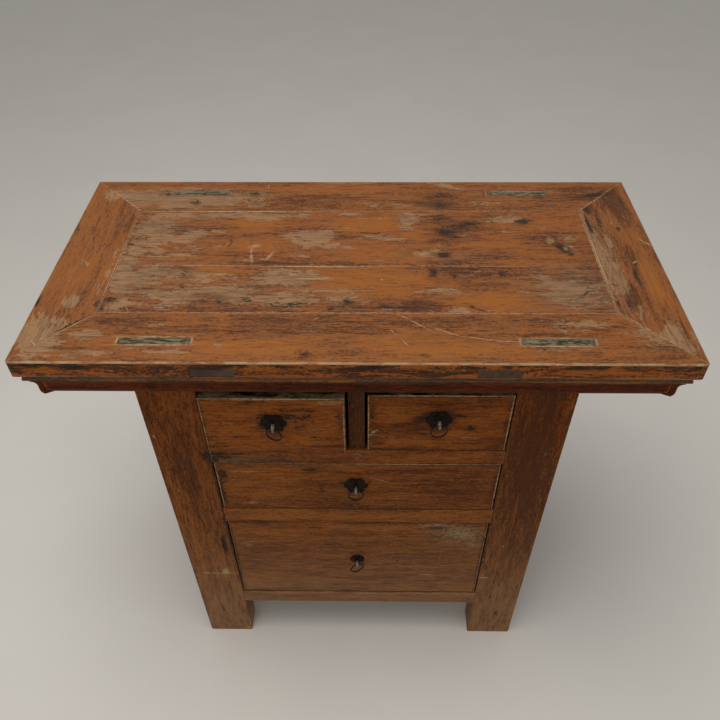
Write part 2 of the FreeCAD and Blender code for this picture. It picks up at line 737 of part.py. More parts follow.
def leg(label, sx, sy):
    body = new_body(label, sx * leg_x, sy * leg_y)
    wide = s.leg_width / 2
    deep = s.leg_depth / 2
    add(body, "Leg", "XY", 0, under_level, rectangle(-wide, wide, -deep, deep))
    round_edges(body, "Arris", s.leg_arris, ALONG_Z, lambda point: True)
    tenon_y = span(sy * (deep - s.leg_tenon_setback),
                   sy * (deep - s.leg_tenon_setback - s.leg_tenon_thickness))
    add(body, "Tenon", "XY", under_level - CLEAR, s.total_height, rectangle(-wide, wide, *tenon_y))
    # Rails across the width enter the inner face
    mortise_x = span(-sx * (wide + OVERCUT), -sx * (wide - s.rail_tenon_length - s.joint_room))
    if sy < 0:
        middle = -rail_middle + leg_y
        reach = tenon_half + fit
        rails, shoulder = front_rails, s.rail_shoulder
    else:
        middle = back_wall_y - leg_y
        reach = s.side_tenon_thickness / 2 + fit
        rails, shoulder = back_rails, side_shoulder
        mortise_x = span(-sx * (wide + OVERCUT), -sx * (wide - s.side_tenon_length - s.joint_room))
    for number, (low, high) in enumerate(rails, start=1):
        cut(body, "RailMortise%d" % number, "XY", low + shoulder - fit, low + high - shoulder + fit,
            rectangle(*mortise_x, middle - reach, middle + reach))
    # Side rails enter the face that looks along the side
    reach = s.side_tenon_thickness / 2 + fit
    middle = sx * (side_wall_x - leg_x)
    mortise_y = span(-sy * (deep + OVERCUT), -sy * (deep - s.side_tenon_length - s.joint_room))
    for number, (low, high) in enumerate(side_rails, start=1):
        cut(body, "SideMortise%d" % number, "XY",
            low + side_shoulder - fit, low + high - side_shoulder + fit,
            rectangle(middle - reach, middle + reach, *mortise_y))
    # Grooves for the panels
    reach = s.wall_thickness / 2 + fit
    low, high = panel_low - s.wall_groove - fit, back_top_level + s.wall_groove + fit
    groove_y = span(-sy * (deep + OVERCUT), -sy * (deep - s.wall_groove - s.joint_room))
    cut(body, "SideGroove", "XY", low, high, rectangle(middle - reach, middle + reach, *groove_y))
    if sy > 0:
        middle = back_wall_y - leg_y
        groove_x = span(-sx * (wide + OVERCUT), -sx * (wide - s.wall_groove - s.joint_room))
        cut(body, "BackGroove", "XY", low, high, rectangle(*groove_x, middle - reach, middle + reach))
    # Runners
    reach = s.runner_tenon_width / 2 + fit
    middle = sx * (runner_tenon_x - leg_x)
    mortise_y = span(-sy * (deep + OVERCUT), -sy * (deep - s.runner_tenon_length - s.joint_room))
    for number, level in enumerate(runner_levels, start=1):
        cut(body, "RunnerMortise%d" % number, "XY",
            level - s.runner_thickness + s.rail_shoulder - fit, level - s.rail_shoulder + fit,
            rectangle(middle - reach, middle + reach, *mortise_y))
    return body


runner_levels = [bottom_open, middle_open, small_open]
for label, sx, sy in (("front_left_leg", -1, -1), ("front_right_leg", 1, -1),
                      ("back_left_leg", -1, 1), ("back_right_leg", 1, 1)):
    nodes.append(leg(label, sx, sy))

# The front left foot is worn round on its outer side
worn = nodes[-4]
cut(worn, "WornFoot", "XZ", -s.leg_depth, s.leg_depth, outline([
    corner(-s.leg_width / 2 - CLEAR, -CLEAR),
    corner(-s.leg_width / 2 + s.foot_wear, -CLEAR),
    corner(-s.leg_width / 2 + s.foot_wear, 0),
    bend(-s.leg_width / 2, s.foot_wear, s.foot_wear, -1),
    corner(-s.leg_width / 2 - CLEAR, s.foot_wear),
]))

# Wedges driven beside each tenon from the upper face of the top

wedges = []
for number, (sx, sy, side) in enumerate(
        [(sx, sy, side) for sx in (-1, 1) for sy in (-1, 1) for side in (-1, 1)], start=1):
    wedge = new_body("wedge_%d" % number, sx * leg_x, sy * leg_y, s.total_height)
    half = s.leg_width / 2
    offset = s.leg_depth / 2 - s.leg_tenon_setback
    wedge_y = span(sy * offset, sy * (offset - s.leg_tenon_thickness))
    corners = [
        corner(side * half, -s.wedge_depth),
        corner(side * (half + s.wedge_tip), -s.wedge_depth),
        corner(side * (half + s.wedge_width), 0),
        corner(side * half, 0),
    ]
    add(wedge, "Wedge", "XZ", *wedge_y, outline(corners if side > 0 else corners[::-1]))
    wedges.append(wedge)
nodes.append(group("tenon_wedges", wedges))

# Front rails


def front_rail(label, level, height):
    body = new_body(label, 0, -rail_middle, level)
    deep = s.rail_depth / 2
    add(body, "Rail", "XY", 0, height, rectangle(-leg_inner, leg_inner, -deep, deep))
    return body


def finish_front_rail(body, height):
    end = leg_inner + s.rail_tenon_length
    add(body, "Tenons", "XY", s.rail_shoulder, height - s.rail_shoulder,
        rectangle(-end, end, -tenon_half, tenon_half))
    nodes.append(body)


def front_edge(point):
    return point.y < 0


def upper_front_edge(point):
    return point.y < 0 and point.z > OVERCUT


def lower_front_edge(point):
    return point.y < 0 and point.z < OVERCUT


rail = front_rail("small_drawer_rail", upper_rail_level, s.upper_rail_height)
round_edges(rail, "Arris", s.rail_arris, ALONG_X, front_edge)
finish_front_rail(rail, s.upper_rail_height)
stile_y = stile_middle + rail_middle
stile_tenon = rectangle(-stile_half - fit, stile_half + fit,
                        stile_y - tenon_half - fit, stile_y + tenon_half + fit)
cut(rail, "StileMortise", "XY", s.upper_rail_height - s.stile_tenon_length - s.joint_room,
    s.upper_rail_height + OVERCUT, stile_tenon)
cut(rail, "PegHole", "XZ", -s.rail_depth / 2 - OVERCUT, -s.rail_depth / 2 + s.peg_length + s.joint_room,
    circle(0, s.peg_height, s.peg_radius + fit))
runner_rise = (s.upper_rail_height - s.runner_thickness + s.rail_shoulder,
               s.upper_rail_height - s.rail_shoulder)
centre_half = s.centre_ledge / 2 - s.rail_shoulder
cut(rail, "RunnerMortise", "XY", runner_rise[0] - fit, runner_rise[1] + fit,
    rectangle(-centre_half - fit, centre_half + fit,
              s.rail_depth / 2 - s.runner_tenon_length - s.joint_room, s.rail_depth / 2 + OVERCUT))

rail = front_rail("middle_rail", middle_rail_level, s.middle_rail_height)
round_edges(rail, "Arris", s.rail_arris, ALONG_X, front_edge)
finish_front_rail(rail, s.middle_rail_height)

rail = front_rail("bottom_rail", s.foot_height, s.bottom_rail_height)
round_edges(rail, "WornArris", s.bottom_rail_arris, ALONG_X, upper_front_edge)
round_edges(rail, "Arris", s.rail_arris, ALONG_X, lower_front_edge)
finish_front_rail(rail, s.bottom_rail_height)

# Upright between the small drawers, pegged through the rail

stile = new_body("centre_stile", 0, stile_middle, small_open)
add(stile, "Stile", "XY", 0, s.small_opening,
    rectangle(-s.stile_width / 2, s.stile_width / 2, -s.stile_depth / 2, s.stile_depth / 2))
round_edges(stile, "Arris", s.rail_arris, ALONG_Z, lambda point: point.y < 0)
add(stile, "Tenons", "XY", -s.stile_tenon_length, s.small_opening + s.stile_head_length,
    rectangle(-stile_half, stile_half, -tenon_half, tenon_half))
peg_level = upper_rail_level + s.peg_height
cut(stile, "PegHole", "XZ", -s.stile_depth, s.stile_depth,
    circle(0, peg_level - small_open, s.peg_radius + fit))
nodes.append(stile)

peg = new_body("stile_peg", 0, face_y, peg_level)
add(peg, "Peg", "XZ", -s.peg_stand, s.peg_length, circle(0, 0, s.peg_radius))
nodes.append(peg)

# Rails and panels of the sides and the back


def frame_rail(body, plane, height, length, above, below):
    """A rail with stub tenons, grooved above or below for a panel; drawn along its plane's axis."""
    half = s.side_rail_thickness / 2
    tenon = s.side_tenon_thickness / 2
    groove = s.wall_thickness / 2 + fit
    reach = length + s.side_tenon_length
    room = s.wall_groove + s.joint_room

    def across(size, end):
        return (-end, end, -size, size) if plane == "X" else (-size, size, -end, end)

    add(body, "Rail", "XY", 0, height, rectangle(*across(half, length)))
    add(body, "Tenons", "XY", side_shoulder, height - side_shoulder,
        rectangle(*across(tenon, reach)))
    if above:
        cut(body, "UpperGroove", "XY", height - room, height + OVERCUT, rectangle(*across(groove, length)))
    if below:
        cut(body, "LowerGroove", "XY", -OVERCUT, room, rectangle(*across(groove, length)))
    return body


rails = []
for side, name in ((-1, "left"), (1, "right")):
    for number, (low, high) in enumerate(side_rails):
        body = new_body("%s_side_rail_%d" % (name, number + 1), side * side_wall_x, 0, low)
        rails.append(frame_rail(body, "Y", high, leg_gap, number == 0, number == 1))
nodes.append(group("side_rails", rails))

wall_half = s.wall_thickness / 2
for side, label in ((-1, "left_side_panel"), (1, "right_side_panel")):
    body = new_body(label, side * side_wall_x, 0, panel_low - s.wall_groove)
    reach = leg_gap + s.wall_groove
    add(body, "Panel", "XY", 0, back_top_level - panel_low + s.wall_groove * 2,
        rectangle(-wall_half, wall_half, -reach, reach))
    nodes.append(body)

rails = []
for number, (low, high) in enumerate(back_rails):
    body = new_body("back_rail_%d" % (number + 1), 0, back_wall_y, low)
    frame_rail(body, "X", high, leg_inner, number < 2, number > 0)
    rails.append(body)
cut(rails[1], "RunnerMortise", "XY", runner_rise[0] - fit, runner_rise[1] + fit,
    rectangle(-centre_half - fit, centre_half + fit, -s.side_rail_thickness / 2 - OVERCUT,
              -s.side_rail_thickness / 2 + s.runner_tenon_length + s.joint_room))
nodes.append(group("back_rails", rails))

panels = []
for number, (low, high) in enumerate(((panel_low, upper_rail_level), (small_open, back_top_level))):
    body = new_body("back_panel_%d" % (number + 1), 0, back_wall_y, low - s.wall_groove)
    reach = leg_inner + s.wall_groove
    add(body, "Panel", "XY", 0, high - low + s.wall_groove * 2,
        rectangle(-reach, reach, -wall_half, wall_half))
    panels.append(body)
nodes.append(group("back_panels", panels))

# Drawer runners: a ledge with an upstand that guides the drawer's side

guide_in = leg_inner + s.guide_gap
guide_out = guide_in + s.guide_width


def side_runner(label, side, level):
    body = new_body(label, 0, 0, level)
    inner = leg_inner - s.runner_ledge
    ledge = span(side * inner, side * guide_out)
    tongue = span(side * inner, side * (leg_inner - s.guide_gap))
    guide = span(side * guide_in, side * guide_out)
    tenon = span(side * (runner_tenon_x - s.runner_tenon_width / 2),
                 side * (runner_tenon_x + s.runner_tenon_width / 2))
    add(body, "Ledge", "XY", -s.runner_thickness, 0, rectangle(*ledge, -leg_gap, leg_gap))
    add(body, "LedgeEnds", "XY", -s.runner_thickness, 0,
        rectangle(*tongue, -rail_back, back_rail_front))
    add(body, "Guide", "XY", 0, s.guide_height, rectangle(*guide, -leg_gap, leg_gap))
    reach = leg_gap + s.runner_tenon_length
    add(body, "Tenons", "XY", -s.runner_thickness + s.rail_shoulder, -s.rail_shoulder,
        rectangle(*tenon, -reach, reach))
    return body


runners = []
for side, name in ((-1, "left"), (1, "right")):
    for number, level in enumerate(runner_levels, start=1):
        runners.append(side_runner("%s_runner_%d" % (name, number), side, level))
body = new_body("centre_runner", 0, 0, small_open)
ledge = s.centre_ledge / 2
add(body, "Ledge", "XY", -s.runner_thickness, 0,
    rectangle(-ledge, ledge, -rail_back, back_rail_front))
guide = s.stile_width / 2 - s.guide_gap
add(body, "Guide", "XY", 0, s.guide_height,
    rectangle(-guide, guide, face_y + s.stile_setback + s.stile_depth, back_rail_front))
add(body, "Tenons", "XY", runner_rise[0] - s.upper_rail_height, runner_rise[1] - s.upper_rail_height,
    rectangle(-centre_half, centre_half,
              -rail_back - s.runner_tenon_length, back_rail_front + s.runner_tenon_length))
runners.append(body)
nodes.append(group("drawer_runners", runners))

# Drawers. Each is drawn from the middle of its front's face at the level of its runners.


def drawer_body(name, part, place, x=0):
    return new_body("%s_%s" % (name, part), place[0] + x, place[1], place[2])


# Radius of the dome's round, as a share of its rim's radius
DOME_ROUND = 1.3


def plate(body, lobed):
    """Iron plate on the drawer front: six lobes round a dome, or a plain domed washer."""
    hole = s.pin_hole + fit
    if lobed:
        angle = math.radians(30)
        reach = s.plate_lobe_reach
        half = reach * math.sin(angle)
        valley = reach * math.cos(angle) + root(
            s.plate_lobe_radius * s.plate_lobe_radius - half * half)
        lobes = []
        for number in range(6):
            turn = angle * (2 * number + 1)
            lobes.append(bend(valley * math.cos(turn), valley * math.sin(turn),
                              s.plate_lobe_radius, 1))
        add(body, "Plate", "XZ", -s.plate_thickness, 0, outline(lobes), circle(0, 0, hole))
        rim = s.boss_radius
    else:
        rim = s.washer_radius
    edge = -s.plate_thickness
    crown = edge - s.boss_height
    revolve(body, "Dome", "XY", 0, outline([
        corner(rim, 0),
        corner(hole, 0),
        corner(hole, crown),
        bend(rim, edge, rim * DOME_ROUND, 1),
    ]))
    return body


def pin(body, thick):
    """Strip folded into an eye, its ends pushed through the front and bent apart behind it."""
    strip = s.pin_strip
    neck = -s.eye_reach + root(s.eye_radius * s.eye_radius - strip * strip)
    add(body, "Pin", "YZ", -s.pin_width / 2, s.pin_width / 2, outline([
        corner(thick + strip, s.pin_spread),
        corner(thick, s.pin_spread),
        corner(thick, strip),
        corner(neck, strip),
        bend(-s.eye_reach - s.eye_radius, 0, s.eye_radius, 1),
        bend(neck, -strip, s.eye_radius, 1),
        corner(thick, -strip),
        corner(thick, -s.pin_spread),
        corner(thick + strip, -s.pin_spread),
    ]), circle(-s.eye_reach, 0, s.eye_radius - strip))
    return body


def drawer(name, left, right, face, out, level, opening, head_gap, stop, pull):
    """A drawer of five wooden pieces with its iron pull; out is how far it stands open."""
    pin_x, pin_z, ring_turn, lobed = pull
    middle = (left + right) / 2
    wide = (right - left) / 2
    place = (middle, face - out, level)
    thick = s.front_thickness
    top = opening - head_gap
    side_top = top - s.side_drop
    length = stop - s.stop_gap - face
    rebate = thick - s.side_rebate
    foot = s.slide_gap
    floor_low = foot + s.floor_height
    floor_top = floor_low + s.floor_thickness
    inner = wide - s.side_thickness

    front = drawer_body(name, "front", place)
    add(front, "Front", "XY", s.drawer_foot_gap, top, rectangle(-wide, wide, 0, thick))
    round_edges(front, "LongArris", s.front_arris, ALONG_X, lambda point: point.y < CLOSE)
    cut(front, "LeftRebate", "XY", -OVERCUT, side_top, rectangle(-wide - OVERCUT, -inner, rebate, thick + OVERCUT))
    cut(front, "RightRebate", "XY", -OVERCUT, side_top, rectangle(inner, wide + OVERCUT, rebate, thick + OVERCUT))
    cut(front, "FloorGroove", "YZ", -wide - OVERCUT, wide + OVERCUT, rectangle(
        thick - s.floor_groove, thick + OVERCUT, floor_low - fit, floor_top + fit))
    cut(front, "PinHole", "XZ", -OVERCUT, thick + OVERCUT, circle(pin_x - middle, pin_z, s.pin_hole))
    nodes.append(front)

    back_y = length - s.back_inset - s.back_thickness
    for side, part in ((-1, "left_side"), (1, "right_side")):
        body = drawer_body(name, part, place)
        add(body, "Side", "XY", foot, side_top, rectangle(*span(side * inner, side * wide), rebate, length))
        cut(body, "FloorGroove", "XY", floor_low - fit, floor_top + fit, rectangle(
            *span(side * (inner - OVERCUT), side * (inner + s.floor_groove + fit)), rebate, length))
        cut(body, "BackHousing", "XY", floor_top - fit, side_top, rectangle(
            *span(side * (inner - OVERCUT), side * (inner + s.back_housing + fit)),
            back_y - fit, back_y + s.back_thickness + fit))
        nodes.append(body)

    back = drawer_body(name, "back", place)
    reach = inner + s.back_housing
    add(back, "Back", "XY", floor_top, side_top, rectangle(-reach, reach, back_y, back_y + s.back_thickness))
    nodes.append(back)

    floor = drawer_body(name, "bottom", place)
    reach = inner + s.floor_groove
    add(floor, "Floor", "XY", floor_low, floor_top, rectangle(
        -reach, reach, thick - s.floor_groove + fit, back_y + s.back_thickness))
    nodes.append(floor)

    iron = (pin_x, face - out, level + pin_z)
    nodes.append(plate(drawer_body(name, "pull_plate", iron), lobed))
    nodes.append(pin(drawer_body(name, "pull_pin", iron), thick))

    drop = s.eye_radius - s.pin_strip - s.ring_wire - s.ring_play
    ring = new_body(name + "_pull_ring", pin_x, face - out - s.eye_reach,
                    level + pin_z - drop - s.ring_radius, ring_turn)
    revolve(ring, "Ring", "XY", 0, circle(s.ring_radius, 0, s.ring_wire))
    nodes.append(ring)


drawer_edge = leg_inner - s.drawer_side_gap
small_edge = s.stile_width / 2 + s.stile_gap
small_middle = (drawer_edge + small_edge) / 2
drawer("left_drawer", -drawer_edge, -small_edge, face_y, s.left_drawer_out, small_open,
       s.small_opening, s.small_head_gap, back_rail_front,
       (-small_middle, s.small_pin_height, s.left_ring_turn, True))
drawer("right_drawer", small_edge, drawer_edge, face_y, 0, small_open,
       s.small_opening, s.small_head_gap, back_rail_front,
       (small_middle, s.small_pin_height, s.right_ring_turn, True))
drawer("middle_drawer", -drawer_edge, drawer_edge, face_y, 0, middle_open,
       s.middle_opening, s.drawer_head_gap, back_wall_front,
       (s.middle_pin_shift, s.middle_pin_height, s.middle_ring_turn, True))
drawer("bottom_drawer", -drawer_edge, drawer_edge, face_y + s.bottom_front_setback, 0, bottom_open,
       bottom_opening, s.drawer_head_gap, back_rail_front,
       (s.middle_pin_shift, bottom_opening / 2, s.bottom_ring_turn, False))

doc.recompute()

for item in doc.Objects:
    if "Invalid" in item.State or "Error" in item.State:
        raise ValueError("%s did not build" % item.Label)
for node in nodes:
    if node.Shape.isNull() or not node.Shape.isValid():
        raise ValueError("%s has no sound shape" % node.Label)

os.makedirs("parts", exist_ok=True)
for node in nodes:
    node.Shape.exportStep("parts/%s.step" % node.Label)
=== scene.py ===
"""Looks of an old lacquered cabinet with four drawers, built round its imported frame."""

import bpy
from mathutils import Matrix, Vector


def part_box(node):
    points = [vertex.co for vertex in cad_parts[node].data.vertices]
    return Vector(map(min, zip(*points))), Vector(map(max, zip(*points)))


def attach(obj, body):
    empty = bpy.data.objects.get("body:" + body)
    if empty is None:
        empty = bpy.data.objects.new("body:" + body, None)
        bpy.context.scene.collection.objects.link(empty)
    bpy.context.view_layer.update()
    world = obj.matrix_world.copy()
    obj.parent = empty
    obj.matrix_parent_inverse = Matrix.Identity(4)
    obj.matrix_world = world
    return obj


bl_info = {
    "name": "Lacquered Cabinet",
    "version": (1, 0, 0),
    "blender": (4, 5, 0),
    "location": "3D View > Sidebar > Cabinet",
    "description": "Finishes the worn lacquered cabinet, its iron pulls and the studio around it",
    "category": "Object",
}

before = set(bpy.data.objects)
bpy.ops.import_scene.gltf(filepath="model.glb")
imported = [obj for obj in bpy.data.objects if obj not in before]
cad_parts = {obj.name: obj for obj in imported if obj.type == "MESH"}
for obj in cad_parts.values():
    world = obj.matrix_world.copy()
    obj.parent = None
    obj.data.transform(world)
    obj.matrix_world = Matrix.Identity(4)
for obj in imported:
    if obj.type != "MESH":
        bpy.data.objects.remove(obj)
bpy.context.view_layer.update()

import math
from dataclasses import dataclass

import bmesh
import bpy
from bpy.props import FloatProperty, FloatVectorProperty, PointerProperty
from mathutils import Matrix, Vector

MM = 0.001
TOP_FACE = 0.89
DRAWERS = ("left_drawer", "right_drawer", "middle_drawer", "bottom_drawer")


def srgb(red, green, blue):
    """A colour written as 0 to 255 on screen, as the shader wants it."""
    def linear(value):
        value /= 255
        return value / 12.92 if value <= 0.04045 else ((value + 0.055) / 1.055) ** 2.4
    return (linear(red), linear(green), linear(blue))


def darker(colour, share):
    return tuple(share * part for part in colour)


# Values that a user would change


def colour(name, description, default):
    return FloatVectorProperty(name=name, description=description, default=default,
                               size=3, min=0.0, max=1.0, subtype="COLOR")


class CabinetLacquer(bpy.types.PropertyGroup):
    """Colours of the lacquered wood."""
    bright: colour("Golden orange", "Lacquer where it is still whole", srgb(164, 98, 38))
    orange: colour("Orange brown", "Most of the lacquer", srgb(147, 88, 46))
    brown: colour("Dark brown", "Darker streaks of the lacquer", srgb(92, 54, 30))
    tan: colour("Rubbed wood", "Wood that shows where the lacquer is rubbed off",
                srgb(168, 131, 97))
    black: colour("Stain", "Black stains and grime", srgb(40, 34, 28))
    pale: colour("Pale marks", "Scratches, chalky spots and filled joints", srgb(190, 160, 122))
    front: colour("Front brown", "Lacquer of the drawers, rails and legs", srgb(128, 72, 26))
    front_light: colour("Front light", "Lighter streaks of the front", srgb(156, 93, 37))
    front_dark: colour("Front dark", "Darker streaks of the front", srgb(90, 48, 18))
    bare: colour("Bare wood", "Unfinished wood inside", srgb(160, 128, 90))


class CabinetIron(bpy.types.PropertyGroup):
    """Colours and sizes of the iron."""
    dark: colour("Iron", "Old iron", srgb(58, 54, 44))
    # The rubbed iron colour is also a painted highlight on the arrises, and, darkened, the colour
    # of the pale pins
    worn: colour("Rubbed iron", "Iron where fingers rub it", srgb(176, 168, 144))
    nail: FloatProperty(name="Nail head", description="Radius of a nail head in the small drawers",
                        default=1.7 * MM, min=0.0005, max=0.004, unit="LENGTH", precision=4)


class CabinetStage(bpy.types.PropertyGroup):
    """Floor, lights and camera."""
    floor: colour("Floor", "Plain pale floor", srgb(214, 208, 196))
    key_power: FloatProperty(name="Key light", description="Power of the large light above",
                             default=34.0, min=0.0, unit="POWER")
    fill_power: FloatProperty(name="Fill light", description="Power of the light from the front",
                              default=9.0, min=0.0, unit="POWER")


# Smaller touches of colour, which a user would leave alone

SCUFF = srgb(164, 150, 122)
DUST = srgb(150, 130, 98)
# Painted shade: multiplies the colour of the legs, rails and drawer fronts above the knee, as if in
# the top's shadow
PAINTED_SHADE_UNDER_TOP = (0.92, 0.78, 0.55)
EDGE_DARK, EDGE_LIGHT = srgb(46, 19, 4), srgb(172, 92, 22)
EDGE_CHIP = (0.012, 0.008, 0.005)
BEAD_DUST = srgb(112, 98, 72)
END_DARK, END_LIGHT = srgb(62, 56, 44), srgb(138, 128, 104)
WEDGE_TONES = (srgb(128, 118, 98), srgb(104, 96, 78), srgb(66, 58, 46), srgb(140, 128, 104))
BATTEN_LIGHT, BATTEN_DARK = srgb(92, 74, 54), srgb(58, 44, 32)
# The moulding's own red-brown, made darker still as painted shade under the top
MOULDING_TONES_WITH_PAINTED_SHADE = (srgb(118, 52, 14), srgb(90, 37, 9), srgb(54, 20, 4))
RUNNER_DARK = srgb(96, 72, 48)
DRAWER_DARK = srgb(112, 84, 56)
RUST = srgb(104, 58, 28)
PLATE_BLACK = srgb(30, 24, 17)
FLOOR_IN_VIEW, FLOOR_SPECKLE = (0.95, 0.93, 0.89), (0.5, 0.5, 0.5)
WORLD_PALE = (0.92, 0.9, 0.86, 1.0)


# Shading

TURN_AXES = {"XY": (0.0, 0.0, 1.0), "XZ": (0.0, -1.0, 0.0)}


def on_axes(axes, values, others=0.0):
    """Three numbers, with the values on the named axes and others on the rest."""
    numbers = [others] * 3
    for axis, value in zip(axes, values):
        numbers["XYZ".index(axis)] = value
    return tuple(numbers)


class Shade:
    """One material made of nodes. Every pattern reads Object coordinates, in metres."""

    def __init__(self, name):
        self.material = bpy.data.materials.new(name)
        self.material.use_nodes = True
        self.tree = self.material.node_tree
        self.tree.nodes.clear()
        self.position = self.node("ShaderNodeTexCoord").outputs["Object"]
        self.surface = self.node("ShaderNodeBsdfPrincipled")
        output = self.node("ShaderNodeOutputMaterial")
        self.tree.links.new(self.surface.outputs["BSDF"], output.inputs["Surface"])

    def node(self, kind, **settings):
        node = self.tree.nodes.new(kind)
        for key, value in settings.items():
            setattr(node, key, value)
        return node

    def feed(self, socket, value):
        """Links a value of another node, or sets a constant."""
        if isinstance(value, bpy.types.NodeSocket):
            self.tree.links.new(value, socket)
        elif isinstance(value, (tuple, list)) and len(value) == 3 and socket.type == "RGBA":
            socket.default_value = (*value, 1.0)
        else:
            socket.default_value = value

    def finish(self, **inputs):
        """Feeds the surface, with spaces in place of the underscores of a name."""
        for name, value in inputs.items():
            self.feed(self.surface.inputs[name.replace("_", " ")], value)

    def math(self, operation, a, b=0.0):
        node = self.node("ShaderNodeMath", operation=operation)
        self.feed(node.inputs[0], a)
        self.feed(node.inputs[1], b)
        return node.outputs[0]

    def vector(self, operation, a, b=(0.0, 0.0, 0.0)):
        node = self.node("ShaderNodeVectorMath", operation=operation)
        self.feed(node.inputs[0], a)
        self.feed(node.inputs[1], b)
        return node.outputs["Value" if operation in {"LENGTH", "DOT_PRODUCT"} else "Vector"]

    def noise(self, vector, scale, detail, roughness, distortion=0.0, output="Fac"):
        node = self.node("ShaderNodeTexNoise")
        self.feed(node.inputs["Vector"], vector)
        for name, value in (("Scale", scale), ("Detail", detail), ("Roughness", roughness),
                            ("Distortion", distortion)):
            node.inputs[name].default_value = value
        return node.outputs[output]

    def band(self, value, low, high, start=0.0, end=1.0):
        """Runs smoothly from start, at low, to end, at high."""
        node = self.node("ShaderNodeMapRange", interpolation_type="SMOOTHSTEP")
        for name, number in (("Value", value), ("From Min", low), ("From Max", high),
                             ("To Min", start), ("To Max", end)):
            self.feed(node.inputs[name], number)
        return node.outputs["Result"]

    def blend(self, factor, a, b, mode="MIX"):
        node = self.node("ShaderNodeMix", data_type="RGBA", blend_type=mode)
        factor_socket, a_socket, b_socket = 0, 6, 7
        self.feed(node.inputs[factor_socket], factor)
        self.feed(node.inputs[a_socket], a)
        self.feed(node.inputs[b_socket], b)
        return node.outputs[2]

    def add(self, *values):
        total = values[0]
        for value in values[1:]:
            total = self.math("ADD", total, value)
        return total

    def most(self, *values):
        total = values[0]
        for value in values[1:]:
            total = self.math("MAXIMUM", total, value)
        return total

    def times(self, a, b):
        return self.math("MULTIPLY", a, b)

    def weigh(self, *parts):
        """The sum of some values, each times its weight."""
        return self.add(*(self.times(value, weight) for value, weight in parts))

    def stretched(self, grain, along, across):
        """Object coordinates squeezed along the grain, so a noise draws streaks."""
        return self.vector("MULTIPLY", self.position, on_axes(grain, [along], across))

    def warped(self, grain, along, across, reach):
        """Object coordinates pushed about by noise, twice as far along the grain as across."""
        push = self.noise(self.stretched(grain, along, across), 1.0, 5.0, 0.62, output="Color")
        push = self.vector("SUBTRACT", push, (0.5, 0.5, 0.5))
        push = self.vector("MULTIPLY", push, on_axes(grain, [8 * reach], 4 * reach))
        return self.vector("ADD", self.position, push)

    def spots(self, place, plane, marks, spread):
        """Density of some soft ellipses. A mark is two middles and two radii in millimetres, a
        strength and maybe a turn in degrees."""
        total = 0.0
        for a, b, radius_a, radius_b, strength, *turn in marks:
            middle = on_axes(plane, (a * MM, b * MM))
            scale = on_axes(plane, (1 / (radius_a * MM), 1 / (radius_b * MM)))
            if turn:
                turned = self.node("ShaderNodeVectorRotate", rotation_type="AXIS_ANGLE")
                self.feed(turned.inputs["Vector"], self.vector("SUBTRACT", place, middle))
                turned.inputs["Axis"].default_value = TURN_AXES[plane]
                turned.inputs["Angle"].default_value = -math.radians(turn[0])
                spot = self.vector("MULTIPLY", turned.outputs["Vector"], scale)
            else:
                node = self.node("ShaderNodeVectorMath", operation="MULTIPLY_ADD")
                self.feed(node.inputs[0], place)
                node.inputs[1].default_value = scale
                node.inputs[2].default_value = [-s * m for s, m in zip(scale, middle)]
                spot = node.outputs["Vector"]
            cone = self.node("ShaderNodeMath", operation="MULTIPLY_ADD")
            self.feed(cone.inputs[0], self.vector("LENGTH", spot))
            cone.inputs[1].default_value = -strength / spread
            cone.inputs[2].default_value = strength * (1.0 / spread + 0.5)
            total = self.most(total, cone.outputs[0])
        return self.math("MINIMUM", total, 1.2)

    def parts(self):
        """The three Object coordinates, each on its own."""
        apart = self.node("ShaderNodeSeparateXYZ")
        self.feed(apart.inputs[0], self.position)
        return apart.outputs

    def height(self):
        return self.parts()["Z"]

    def border(self, plane, low, high, width):
        """One at the outline of a box and nothing further in than width."""
        parts, total = self.parts(), 0.0
        for axis in plane:
            index = "XYZ".index(axis)
            middle, half = (low[index] + high[index]) / 2, (high[index] - low[index]) / 2
            away = self.math("ABSOLUTE", self.math("SUBTRACT", parts[axis], middle))
            total = self.most(total, self.band(away, half - width, half))
        return total

    def edges(self, radius):
        """One at the arrises of a piece and nothing on its faces."""
        bevel = self.node("ShaderNodeBevel", samples=6)
        bevel.inputs["Radius"].default_value = radius
        flat = self.node("ShaderNodeNewGeometry").outputs["Normal"]
        return self.band(self.vector("DOT_PRODUCT", bevel.outputs["Normal"], flat), 0.995, 0.86)

    def bump(self, height, strength, distance):
        node = self.node("ShaderNodeBump")
        node.inputs["Strength"].default_value = strength
        node.inputs["Distance"].default_value = distance
        self.feed(node.inputs["Height"], height)
        self.finish(Normal=node.outputs["Normal"])


# Wood

# Squeeze along and across the grain, detail and twist of the broad, medium and fine streaks
STREAKS = ((2.2, 13.0, 5.0, 0.5), (9.0, 80.0, 6.0, 0.5), (34.0, 380.0, 4.0, 0.3))


@dataclass
class Wood:
    """What one lacquered wood looks like, and the marks on it."""
    name: str
    grain: str
    seed: int
    tones: list
    plane: str = "XZ"
    tan: tuple = ()
    black: tuple = ()
    pale: tuple = ()
    bright: tuple = ()
    brown: tuple = ()
    grey: tuple = ()
    scuffs: tuple = ()
    rubbed: float = 0.4
    grime: float = 0.5
    edge: float = 0.5
    rough: float = 0.46
    gloss: float = 0.07
    crisp: float = 1.0
    box: tuple = None
    crown: float = None
    # Fades the colour towards the foot, and darkens it high up as painted shade under the top
    fade_and_painted_shade: bool = False
    rim: bool = False
    cap: bool = False

    def __post_init__(self):
        self.light, self.middle, self.dark, self.bare, self.stain, self.chalk = self.tones


def wood_grain(shade, grain, seed):
    """Streaks of softwood along one axis: broad, medium and fine, each about 0 to 1."""
    shifted = shade.vector("ADD", shade.position, (seed * 0.37, seed * 0.73, seed * 0.51))
    return [shade.noise(shade.vector("MULTIPLY", shifted, on_axes(grain, [along], across)),
                        1.0, detail, 0.66, twist)
            for along, across, detail, twist in STREAKS]


